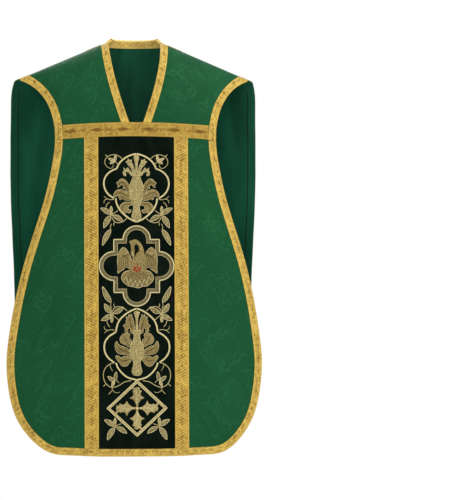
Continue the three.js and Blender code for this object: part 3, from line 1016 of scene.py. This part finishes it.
class Embroidery:
    """Threads laid on the velvet, drawn in millimetres about a middle point of one side."""

    def __init__(self, side, height, x=0.0, turn=0.0, size=1.0):
        self.side, self.x, self.z, self.size = side, x, height, size
        self.turn, self.shape, self.tone = turn, Shape(), 0.0

    def place(self, points):
        p = np.array(points, float) * self.size
        c, s = math.cos(self.turn), math.sin(self.turn)
        u, v = p[:, 0] * c - p[:, 1] * s, p[:, 0] * s + p[:, 1] * c
        return self.x + (u if self.side is FRONT else -u), self.z + v

    def pad(self, outline, height, material=KHAKI, smooth=4, mirror=False, lie=0.6, base=ON_PILE,
            outlined=None):
        """A padded shape, domed to a height. lie turns its stitches; smooth=0 keeps its corners."""
        line = catmull(outline, smooth, closed=True) if smooth else np.array(outline, float)
        self.tone += NEXT_TONE
        for m in MIRROR[mirror]:
            poly = resample(line, 1.7, closed=True)
            low, high = poly.min(0), poly.max(0)
            gx, gz = np.meshgrid(np.arange(low[0], high[0], 2.1), np.arange(low[1], high[1], 1.9))
            stagger = (np.arange(gx.shape[0]) % 2)[:, None] * 1.05
            grid = pairs((gx + stagger).ravel(), gz.ravel())
            grid = grid[inside(grid, poly)]
            far = nearest(grid, poly, closed=True)[0] if len(grid) else np.zeros(0)
            grid, far = grid[far > 0.8], far[far > 0.8]
            faces = triangles(poly, grid)
            points = np.vstack([poly, grid])
            rise = np.concatenate([np.zeros(len(poly)), far])
            wide = min(float(rise.max()) if len(far) else 1.0, 5.0)
            rise = height * np.sqrt(1 - (1 - np.minimum(rise / max(wide, 0.5), 1)) ** 2)
            across = points[:, 0] * math.sin(lie) + points[:, 1] * math.cos(lie)
            uv = pairs(across, np.full(len(points), self.tone % 1))
            x, z = self.place(points * [m, 1])
            a, b, c = (pairs(x, z)[faces[:, k]] for k in range(3))
            if ((b - a)[:, 0] * (c - a)[:, 1] - (b - a)[:, 1] * (c - a)[:, 0]).sum() < 0:
                faces = faces[:, ::-1]
            closed_shell(self.shape, self.side, x, z, faces, base, base + 0.2 + rise, uv, material)
        if outlined:
            self.cord(line, outlined, closed=True, mirror=mirror, base=base + 0.2)

    def lobe(self, outline, height, lie, material=KHAKI):
        """A padded lobe on each side of the middle, with a fine couched edge."""
        self.pad(outline, height, material, mirror=True, lie=lie, outlined=0.5)

    def cord(self, line, radius, material=CREAM, closed=False, mirror=False, base=PILE, taper=0.0):
        """A round couched cord, half sunk in the pile. taper thins it towards its end."""
        line = resample(line, max(2.2, radius * 0.9), closed)
        n, m_round = len(line), 6
        along = lengths(line)
        r = radius * (1 - taper * along / max(along[-1], 1e-6))
        if not closed:
            r[[0, -1]] *= 0.55
        for m in MIRROR[mirror]:
            x, z = self.place(line * [m, 1])
            low = lift(self.side, x, z, np.full(n, base)) * 1000
            up = lift(self.side, x, z, np.full(n, base + 1.0)) * 1000 - low
            ahead = np.roll(low, -1, 0) - np.roll(low, 1, 0) if closed else np.gradient(low, axis=0)
            across = unit(np.cross(ahead, up))
            middle = low + up * (r * 0.45)[:, None]
            turn = np.linspace(0, 2 * math.pi, m_round, endpoint=False) + math.pi / m_round
            spokes = np.cos(turn)[:, None] * across[:, None] + np.sin(turn)[:, None] * up[:, None]
            ring = middle[:, None] + r[:, None, None] * spokes
            uv = pairs(np.repeat(along, m_round), np.tile(turn, n))
            faces = tube_faces(n, m_round, closed, turned=True)
            self.shape.add(ring.reshape(-1, 3) / 1000, faces, uv, material)

    def stem(self, radius, *points, taper=0.0):
        """A curved gold cord on each side of the middle."""
        self.cord(curve(*points), radius, STEM, mirror=True, taper=taper)

    def crease(self, base, *points):
        """A brown cord over a lobe on each side of the middle."""
        self.cord(curve(*points), 1.0, BROWN, mirror=True, base=base)

    def band(self, line, near, far, height, material=BAND):
        """Threads laid flat between two distances to the left of a closed line."""
        line = resample(line, 2.4, closed=True)
        cuts = [near, near + 0.4, (near + far) / 2, far - 0.4, far]
        offs = [ON_PILE + height * share for share in (0, 0.7, 1, 0.7, 0)]
        n, k = len(line), len(cuts)
        self.tone += NEXT_TONE
        rings = []
        for cut, off in zip(cuts, offs):
            x, z = self.place(shift(line, cut, closed=True))
            rings.append(lift(self.side, x, z, np.full(n, off)))
        verts = np.stack(rings, 1).reshape(-1, 3)
        uv = pairs(np.repeat(lengths(line), k), np.full(n * k, self.tone % 1))
        faces = tube_faces(n, k, closed=True, turned=self.side is BACK)
        self.shape.add(verts, faces, uv, material)

    def leaf(self, base, tip, width, bow=0.0, vein=True):
        """A pointed leaf with a couched edge and a vein, on each side of the middle."""
        base, tip = np.array(base, float), np.array(tip, float)
        d = tip - base
        length = np.linalg.norm(d)
        side = np.array([-d[1], d[0]]) / length
        t = np.linspace(0, 1, 13)[:, None]
        spine = base + d * t + side * (bow * np.sin(np.pi * t))
        half = width * np.sin(np.pi * t**0.85) ** 0.8 * (1 - 0.15 * t)
        line = np.vstack([spine + side * half, (spine - side * half)[-2:0:-1]])
        slim = np.maximum(half - 2.0, 0.4)
        inner = np.vstack([spine + side * slim, (spine - side * slim)[-2:0:-1]])[1:]
        lie = math.atan2(d[0], d[1]) + 0.7
        self.pad(inner if width > 4 else line, 1.2, BRIGHT, 0, True, lie)
        self.cord(line, 0.95, CREAM, True, True, 5.4)
        if vein:
            self.cord(spine[2:-2], 0.55, BROWN, False, True, 6.1, 0.5)

    def cluster(self, x, z, up=1, low=(21, -36)):
        """Three leaves and a bud on one stalk."""
        def at(a, b):
            return (x + a, z + b * up)

        self.leaf(at(4, 1), at(29, 16.5), 6.2, 1.5 * up)
        self.leaf(at(1, 6), at(1.5, 22), 3.4)
        self.leaf(at(-4, -3), at(-30, -19), 6.0, -1.5 * up)
        self.leaf(at(3, -4), at(*low), 7.0, 1.5 * up)
        self.pad([at(-4, -4), at(4, -4), at(5, 4), at(-2, 5)], 0.9, BRIGHT, 4, True)

    def build(self, name, node):
        obj = self.shape.build(name, THREADS, 70)
        bind(obj, "front" if self.side is FRONT else "root", node)


def curve(*points):
    return catmull(points, 8)


def tendril(e, x, z, up=1):
    """A little stalk that forks at its end, beside a medallion's lower notch."""
    def at(a, b):
        return (x + a, z + b * up)

    e.stem(1.2, at(0, 0), at(10, -1), at(19, 2), at(27, 8), taper=0.4)
    e.stem(1.1, at(17, 1), at(23, -1), at(27, -6), at(26, -11), taper=0.4)


def double_line(e, *points):
    """Two cream cords side by side, on each side of the middle."""
    for off in (-1.0, 1.0):
        e.cord(shift(curve(*points), off), 1.2, mirror=True)


def twin(right):
    """A closed outline from its right half, which starts on or beside the middle line."""
    return [*right, *((-a, b) for a, b in right[::-1] if a)]


def upper_acanthus(e):
    """The acanthus of the upper medallion, from its lobes to its middle spike."""
    body = [(0, 30), (8, 29), (13, 19), (18.5, 4), (20.5, -10), (18, -24), (12.5, -38), (8.5, -49),
        (8.5, -57), (10.5, -67), (12.5, -76), (9.5, -84), (0, -86)]
    e.lobe([(6, 34), (5, 47), (9, 60), (13, 68), (12.5, 74), (17.5, 72.5), (22, 76.5), (23, 71), (28, 69),
        (23, 64), (22, 60), (15, 53), (10.5, 43), (9, 33)], 1.4, 1.1, BRIGHT)
    e.lobe([(8, 33), (13, 41), (19, 47), (23, 53), (28, 48), (33.5, 53), (32.5, 45.5), (35.5, 41),
        (33.5, 33), (28.5, 31), (27, 35.5), (30, 38.5), (26, 42.5), (19, 39), (13, 31)], 1.4, 0.3, BRIGHT)
    e.lobe([(17, -9), (20, 6), (27, 17), (35, 23), (43, 22), (48, 15.5), (52.5, 13), (48.5, 6), (49.5, 0),
        (43.5, 4), (39.5, 8), (34, 4), (36, -2), (31, -3), (27, -9), (20, -20)], 1.7, 2.3)
    e.lobe([(18, -18), (27, -12), (36, -6.5), (46, -5), (54, -9), (60, -17), (59, -24), (53, -23),
        (47, -22), (46, -28), (42, -33), (38, -29), (30, -33), (17, -33)], 1.7, 0.5)
    e.lobe([(13, -37), (22, -39), (31, -38.5), (40, -44), (45, -52), (44.5, -60), (38, -66.5), (30, -68),
        (27, -65), (20, -67.5), (14.5, -64), (15.5, -58.5), (20, -58.5), (22, -53), (19, -48), (12, -46)],
        1.7, 1.2)
    e.pad(twin(body), 2.2, BRIGHT, lie=0.0, outlined=0.6)
    e.pad([(-11, 30), (-12.5, 35), (-6, 36.5), (6, 36.5), (12.5, 35), (11, 30), (0, 28)], 2.4, BRIGHT,
        lie=1.57)
    e.pad(twin([(0, 87.5), (5.5, 86), (7.5, 79), (4.5, 66), (3.2, 50), (4.5, 36)]), 1.7, BRIGHT, lie=0.0)
    for x, z, r in ((0, 62, 20), (0, 15, 40)):
        e.cord([(x, z), (x, z - r)], 0.5, STEM, base=7.0)
    for m in (1, -1):
        e.cord(curve((m * 7, 12), (m * 11, -10), (m * 6, -38)), 0.5, STEM, base=6.7)
    e.crease(6.6, (22, -8), (33, 12), (43, 14), (46, 9))
    e.crease(6.6, (22, -24), (38, -15), (50, -14), (55, -18))
    e.crease(6.6, (17, -42), (32, -45), (38, -54), (33, -61))


def lower_acanthus(e):
    """The acanthus of the lower medallion, with ragged upright leaves."""
    body = [(0, 30), (9, 29), (8, 20), (10, 8), (16, -6), (19, -20), (18, -32), (12, -42), (9.5, -48),
        (9.5, -57), (12, -66), (13, -74), (9, -82), (0, -84)]
    e.lobe([(9, 27), (6, 42), (8, 58), (12, 70), (14, 78), (18, 74), (21, 77), (23, 71), (28.5, 70.5),
        (26.5, 64), (29.5, 59), (28, 54), (32, 51), (36, 46.5), (31, 42), (31.5, 34), (28, 30), (23, 31.5),
        (24.5, 37), (21, 41), (17, 39), (16, 30)], 1.6, 0.7)
    e.lobe([(16, -6), (19, 2), (19, 9), (21, 15), (19, 21), (20, 27), (25, 28), (33, 27.5), (40, 22),
        (44.5, 14), (43, 4), (36, -1), (29, -3), (23, -8)], 1.8, 2.2)
    e.lobe([(17, -24), (21, -16), (28, -11), (36, -7), (44, -5), (49, 0), (53, 7), (57, 1), (57.5, -10),
        (54, -20), (47, -26), (38, -28.5), (28, -28), (20, -31)], 1.8, 0.7)
    e.lobe([(17, -37), (24, -33), (33, -32.5), (41, -37), (46, -34), (53, -31), (56, -36), (52, -43),
        (46, -50), (40, -58), (32, -60), (25, -57), (19, -50), (15, -43)], 1.8, 1.2)
    e.pad([(17, -8), (16.5, 5), (18.5, 16), (14, 8), (11, -2)], 1.0, BRIGHT, mirror=True)
    e.pad(twin(body), 2.2, BRIGHT, lie=0.0, outlined=0.6)
    e.pad([(-11, 28), (-13, 35), (-6, 37), (6, 37), (13, 35), (11, 28), (0, 27)], 2.4, BRIGHT, lie=1.57)
    e.pad(twin([(0, 88), (5, 85), (8.5, 82), (5, 72), (3, 56), (3.8, 38)]), 1.7, BRIGHT, lie=0.0)
    for m in (1, -1):
        e.cord(curve((m * 4, 22), (m * 9, -16), (m * 5, -40)), 0.5, STEM, base=6.8)
    e.crease(6.7, (22, -2), (30, 10), (34, 20))
    e.crease(6.7, (22, -24), (38, -16), (50, -10))
    e.crease(6.7, (20, -42), (34, -45), (46, -42))
    e.crease(6.5, (12, 40), (17, 56), (20, 68))


def upper_medallion(e):
    """A lobed frame with scrolls above and clusters of leaves below."""
    double_line(e, (0, 90), (14, 86.5), (28, 80), (40.5, 70), (48.5, 59), (52.5, 49.5))
    double_line(e, (52.5, 49.5), (60, 47.5), (72, 40), (82, 28), (86, 12.5), (83, -4), (74, -18), (59, -28.5))
    double_line(e, (54.5, -28), (54, -36), (52, -44), (44.5, -58.5), (32, -72), (16.5, -83.5), (0, -91))
    upper_acanthus(e)
    tendril(e, 59, -31)
    e.stem(1.2, (38, 77), (47, 84), (60, 87.5), (73, 84), (82, 75), (83, 64), (77, 55), (68, 51), (62, 55),
        (61, 61), taper=0.3)
    e.stem(1.0, (74, 83), (79, 84), (82, 88))
    e.stem(1.0, (46, 62), (53, 66), (58, 71))
    for tip, width in (((74, 78), 3.6), ((55, 87), 3.2), ((70, 64), 3.2)):
        e.leaf((57, 70), tip, width, vein=False)
    e.cluster(65.5, -71)
    e.stem(1.1, (71, -38), (78, -45), (81, -53))
    e.stem(1.1, (49, -60), (56, -66), (64, -69))
    e.stem(1.1, (25, -81), (36, -90), (50, -93), (60, -88), (65, -78))
    e.stem(1.0, (57, -90), (60, -95), (60, -101))


def lower_medallion(e):
    """A lobed frame with clusters of leaves above and long scrolls below."""
    double_line(e, (0, 93), (15, 87), (30, 77.5), (44.5, 63.5), (52, 48), (55, 31))
    double_line(e, (55, 31), (61, 27.5), (73.5, 19), (83, 6.5), (86, -9), (83, -25), (73.5, -39),
        (59.5, -49.5))
    double_line(e, (55, -50), (54, -54), (49.5, -64.5), (38, -78.5), (23, -89.5), (0, -95.5))
    lower_acanthus(e)
    e.cluster(64.5, 78, -1, (20.5, -27.5))
    e.stem(1.1, (71, 44), (77, 52), (79, 60))
    e.stem(1.1, (47, 62), (55, 69), (62, 74))
    e.stem(1.1, (25, 86), (36, 95), (50, 98), (60, 93), (65, 84))
    e.stem(1.0, (57, 95), (60, 100), (60, 106))
    tendril(e, 59, 36, -1)
    e.stem(1.2, (59, -50), (72, -54), (83, -64), (88, -77), (87, -94), (78, -109), (63, -115), (48, -110),
        (33, -101), (15, -97))
    e.stem(1.1, (67, -112), (63, -124), (54, -129), (45, -127), taper=0.4)
    e.stem(1.0, (66, -123), (70, -128), (75, -133))
    e.stem(1.0, (82, -104), (86, -110), (89, -112))
    e.stem(1.1, (72, -55), (69, -63), (64, -72), taper=0.4)
    e.leaf((58, -97), (54.5, -74), 4.2)
    e.leaf((60, -99), (77, -86), 4.6)
    e.leaf((60, -98), (66, -113), 3.6, vein=False)
    e.stem(0.9, (47, -104), (51, -99), (56, -96))


def quatrefoil(e):
    """The lobed frame round a scene, with single leaves and plum curls beside it."""
    t = np.linspace(math.pi / 2, 0, 14)
    side = np.linspace(math.pi / 2, -math.pi / 2, 24)
    top, arm = pairs(36 * np.cos(t), 70 + 36 * np.sin(t)), pairs(60 + 38 * np.cos(side), 38 * np.sin(side))
    right = np.vstack([top, (60, 70), (60, 38), arm[1:-1], (60, -38), (60, -70), (top * [1, -1])[::-1]])
    line = np.vstack([right, mirrored(right[1:-1])[::-1]])
    e.cord(line, 1.7, CREAM, closed=True)
    e.band(line, -2.2, -9.0, 0.9)
    e.cord(shift(line, -9.6, True), 0.7, STEM, closed=True)
    for up in (1, -1):
        e.leaf((68, 97 * up), (90, 54 * up), 6.6, 2.0 * up)
        e.stem(1.0, (66, 112 * up), (69, 104 * up), (68, 97 * up))
        e.cord(curve((86, 92 * up), (92, 91 * up), (95, 84 * up), (91, 77 * up), (97, 73 * up),
            (98, 65 * up), (91, 57 * up)), 0.6, PLUM, mirror=True)


def leafy_cross(e, size):
    """Four ragged leaves round a knot."""
    arm = [(0, 2), (10, 3), (18, 7), (23, 12), (27, 20), (30, 14), (34, 10.5), (40, 10), (44, 12.5),
        (47, 9), (51, 12), (56, 18), (57.5, 12), (53.5, 6), (56, 0), (53, -8), (48, -6.5), (46, -13),
        (42, -11), (38, -9.5), (33, -11), (30, -15), (27, -19), (23, -12), (18, -7), (10, -3), (0, -2)]
    for quarter in range(4):
        c, s = math.cos(quarter * math.pi / 2), math.sin(quarter * math.pi / 2)
        e.pad([((a * c - b * s) * size, (a * s + b * c) * size) for a, b in arm], 1.6, BRIGHT, 3,
            lie=0.8 + quarter * 0.4)
        e.cord([(6 * c * size, 6 * s * size), (44 * c * size, 44 * s * size)], 0.6, CREAM, base=6.3)
    e.pad([(4 * size, 0), (0, 4 * size), (-4 * size, 0), (0, -4 * size)], 2.2, CREAM)


def diamond(e, wide, tall, leaves=True, cross=1.0):
    """A diamond frame round a leafy cross."""
    line = np.array([(0, tall), (wide, 0), (0, -tall), (-wide, 0)], float)
    e.cord(shift(line, -1.4, True), 1.5, CREAM, closed=True)
    e.band(line, -2.6, -5.4, 1.0, BRIGHT)
    e.cord(shift(line, -6.4, True), 1.2, CREAM, closed=True)
    leafy_cross(e, cross)
    if leaves:
        e.cluster(57, -47)
        e.stem(1.0, (41, -40), (49, -43), (55, -45))


def pelican(e):
    """A pelican feeding its young: wings, nest, neck and drops."""
    for m in (1, -1):
        wing = [(14, 8), (19, 26), (26, 40), (36, 49), (44, 44), (51, 30), (53, 14), (51.5, -4), (52, -19),
            (45, -14), (38, -10), (30, -3), (20, -6)]
        wing = [(m * a + 2, b) for a, b in wing]
        e.pad(wing, 1.6, KHAKI, lie=0.9 * m, outlined=0.6)
        for a in range(5):
            feather = ((22 + 3 * a, 34 - a * 1.5), (26 + 5 * a, 16), (25 + 6.2 * a, -4 - a * 2))
            e.cord(curve(*((m * x + 2, z) for x, z in feather)), 0.7, BROWN, base=6.5)
    e.pad([(-40, -28), (-32, -16), (-20, -12), (-6, -8), (8, -8), (22, -11), (36, -16), (44, -28),
        (43, -38), (36, -46), (27, -53), (16, -54), (4, -58), (-8, -55), (-20, -53), (-30, -47),
        (-38, -38)], 2.2, KHAKI, outlined=0.8)
    for k in range(9):
        a = -33 + 8.75 * k
        e.cord(curve((1 + 0.4 * (a - 1), -17), (1 + 0.8 * (a - 1), -28), (a, -39 + 0.011 * (a - 2) ** 2)),
            0.8, BROWN, base=6.7)
    for phase, thread in ((0, CREAM), (1, BROWN)):
        places = enumerate(range(-34, 39, 6))
        rim = [(a, -53.5 + 0.012 * (a - 2) ** 2 + 14 * ((k + phase) % 2)) for k, a in places]
        e.cord(curve(*rim), 0.8, thread, base=6.7)
    e.pad([(2, 36), (12, 38), (19, 34), (22, 14), (25, -6), (26, -16), (10, -21), (-8, -19), (-20, -12),
        (-14, 2), (-13, 16), (-6, 24)], 2.8, KHAKI, lie=0.2)
    e.pad([(21.5, 20), (20, 36), (17, 50), (10, 62), (0, 69.5), (-10, 69), (-18, 63), (-15.5, 54),
        (-15, 42), (-11, 34), (-5, 36), (-6, 46), (-5, 54), (0, 57), (5, 52), (6, 42), (4, 30), (6, 20)],
        3.0, KHAKI, lie=1.2)
    e.pad([(-14, 42), (-15, 32), (-10, 22), (-5.5, 18), (-6, 28), (-7, 38)], 2.6, BRIGHT, 4)
    e.pad([(-20, 64), (-16, 67), (-12, 66), (-15, 61)], 2.8, BRIGHT)
    e.pad([(-11, 59), (-9.5, 60.5), (-8, 59), (-9.5, 57.5)], 3.6, CRIMSON)
    for k in range(6):
        a = math.radians(20 + 60 * k)
        c, s = math.cos(a), math.sin(a)
        drop = [(1 + 2.5 * c, -8 + 2.5 * s), (1 + 7 * c - 2.6 * s, -8 + 6 * s + 2.6 * c),
            (1 + 11.5 * c, -8 + 9.5 * s), (1 + 7 * c + 2.6 * s, -8 + 6 * s - 2.6 * c)]
        e.pad(drop, 1.0, RED, 4, base=7.9)


def circle(x, z, radius, count):
    t = np.linspace(0, 2 * math.pi, count, endpoint=False)
    return pairs(x + radius * np.cos(t), z + radius * np.sin(t))


def lamb(e):
    """A lamb with a halo and a banner, on a book with seven seals."""
    e.pad([(-40, -8), (38, -8), (50, -17), (-50, -17)], 1.0, CRIMSON, 0, outlined=0.7)
    e.pad([(-51, -17), (51, -17), (49, -22), (51, -27), (-51, -27), (-49, -22)], 1.3, WHITE, 0, outlined=0.6)
    seals = [(-32, -36), (-21, -41), (-9.5, -36), (1.5, -45), (12.5, -35.5), (24.5, -40), (36.5, -36)]
    for k, (a, b) in enumerate(seals):
        e.cord([(a, -27), (a, b + 5)], 0.7)
        e.pad(circle(a, b, 5.8, 12), 1.6, BRIGHT, 0, lie=k * 0.5, outlined=0.5)
    e.pad(circle(-30, 23.5, 20.5, 28), 0.8, BRIGHT, 0, outlined=0.7)
    for a in (0.1, 1.57, 3.0):
        ray = circle(-30 + 16 * np.cos(a), 23.5 + 16 * np.sin(a), 3.2, 7)
        e.pad(ray, 0.8, RED, 0, base=6.0)
    e.pad([(-15, 50), (15.5, 49.5), (13.5, 41), (18.5, 32), (26, 26), (35.5, 23.5), (24, 18), (9, 19),
        (-3.5, 25), (-11.5, 35), (-13, 44)], 1.2, RED, 3, outlined=0.6)
    e.cord(curve((0, 49), (2, 38), (10, 27), (24, 21)), 2.2, CREAM, base=6.0)
    e.cord(curve((-13, 40), (0, 40), (14, 40)), 2.2, CREAM, base=6.0)
    e.pad([(-32, 30), (-24, 29), (-19, 24), (-15, 16), (0, 17), (15, 17.5), (28, 14), (35, 6), (35.5, -5),
        (31, -12.5), (22, -14.5), (10, -10), (-4, -9), (-16, -7), (-27, 0), (-32, 9), (-38, 17), (-37, 25)],
        3.2, WHITE, lie=0.4)
    e.pad([(-27, 4), (-33, -2), (-37, -10), (-30, -13), (-18, -13), (-20, -9), (-28, -8), (-22, 0)], 2.0,
        WHITE)
    e.pad([(2, -8), (-8, -10), (-14, -15), (-4, -15), (10, -12)], 2.0, WHITE)
    e.pad([(-38, 25), (-33, 28), (-34, 22), (-39, 20)], 3.0, WHITE)
    e.cord([(11, 61), (-44, -31)], 0.9, CREAM, base=8.2)
    e.cord([(3, 58), (15, 53)], 0.8, CREAM, base=8.4)
    e.cord([(-36, 19), (-33, 18)], 0.5, CRIMSON, base=8.4)


def small_diamond(e):
    """The back's diamond between its two long medallions."""
    diamond(e, 54, 49, False, 0.64)
    e.leaf((60, -44), (80, -4), 6.0, 2.0)


def make_embroidery():
    """Every motif, from its drawing, the height of its middle and how it is placed."""
    middle = (CROSS_TOP + CROSS_BOTTOM) / 2
    for where, name, height, drawings, placing in (
        ("front", "upper", 710, [upper_medallion], {}),
        ("front", "pelican", 502.3, [quatrefoil, pelican], {}),
        ("front", "lower", 297, [lower_medallion], {}),
        ("front", "diamond", 127, [lambda e: diamond(e, 81, 75.5)], {}),
        ("back", "upper", 990, [upper_medallion], {"size": 0.94}),
        ("back", "lamb", middle - 6, [quatrefoil, lamb], {"size": 0.95}),
        ("back", "arm_left", middle, [upper_medallion], {"turn": -math.pi / 2, "x": -199, "size": 0.94}),
        ("back", "arm_right", middle, [upper_medallion], {"turn": math.pi / 2, "x": 199, "size": 0.94}),
        ("back", "middle", 588, [lower_medallion], {"size": 0.95}),
        ("back", "small_diamond", 438, [small_diamond], {}),
        ("back", "lower", 291, [lower_medallion], {"size": 0.98}),
        ("back", "diamond", 117, [lambda e: diamond(e, 80, 74)], {}),
    ):
        e = Embroidery(FRONT if where == "front" else BACK, height, **placing)
        for draw in drawings:
            draw(e)
        e.build(f"{where}_{name}_embroidery", f"{where}_applique_{name}")


make_front()
make_yokes()
make_back()
make_collar()
make_seam_stitches()
make_embroidery()


# ---- floor, light and camera ------------------------------------------------------
def make_floor():
    mesh = bpy.data.meshes.new("studio_floor")
    t = np.linspace(0, 2 * math.pi, 96, endpoint=False)
    z = cad_low.z - 0.28
    mesh.from_pydata([(1.6 * math.cos(a), 1.6 * math.sin(a), z) for a in t], [], [list(range(96))])
    white = bpy.data.materials.new("studio_white")
    white.use_nodes = True
    white.node_tree.nodes["Principled BSDF"].inputs["Base Color"].default_value = (0.86, 0.86, 0.86, 1)
    white.node_tree.nodes["Principled BSDF"].inputs["Roughness"].default_value = 0.8
    mesh.materials.append(white)
    floor = bpy.data.objects.new("studio_floor", mesh)
    bpy.context.scene.collection.objects.link(floor)


def facing(place, aim):
    """The rotation of a lamp or a camera that looks from a place at an aim."""
    return (Vector(aim) - Vector(place)).to_track_quat("-Z", "Y").to_euler()


def area_light(name, place, aim, size, power):
    light = bpy.data.lights.new(name, "AREA")
    light.shape = "DISK"
    light.size = size
    light.energy = power
    obj = bpy.data.objects.new(name, light)
    obj.location = place
    obj.rotation_euler = facing(place, aim)
    bpy.context.scene.collection.objects.link(obj)


def make_light():
    world = bpy.data.worlds.new("studio")
    bpy.context.scene.world = world
    world.use_nodes = True
    back = world.node_tree.nodes["Background"]
    back.inputs["Color"].default_value = (1, 1, 1, 1)
    back.inputs["Strength"].default_value = 1.0
    middle = (0, 0, -0.5)
    area_light("key", (2.5, -1.7, 2.1), middle, 1.4, 75)
    area_light("fill", (-0.8, -3.6, 0.9), middle, 1.6, 24)
    area_light("top", (0.7, -0.9, 2.6), (0, 0, 0), 1.2, 20)
    area_light("rear", (-1.6, 2.8, 1.6), middle, 1.4, 70)
    bpy.context.scene.view_settings.view_transform = "Standard"


def make_camera():
    data = bpy.data.cameras.new("camera")
    data.lens = 200
    data.sensor_width = 36
    data.clip_end = 40
    cam = bpy.data.objects.new("camera", data)
    turn, away, aside = math.radians(-2.8), 7.5, 0.2686
    height = cad_low.z + 0.545
    place = Vector((math.sin(turn) * away, -math.cos(turn) * away, height))
    aim = Vector((math.cos(turn) * aside, math.sin(turn) * aside, height))
    cam.location = place
    cam.rotation_euler = facing(place, aim)
    bpy.context.scene.collection.objects.link(cam)
    bpy.context.scene.camera = cam


make_floor()
make_light()
make_camera()
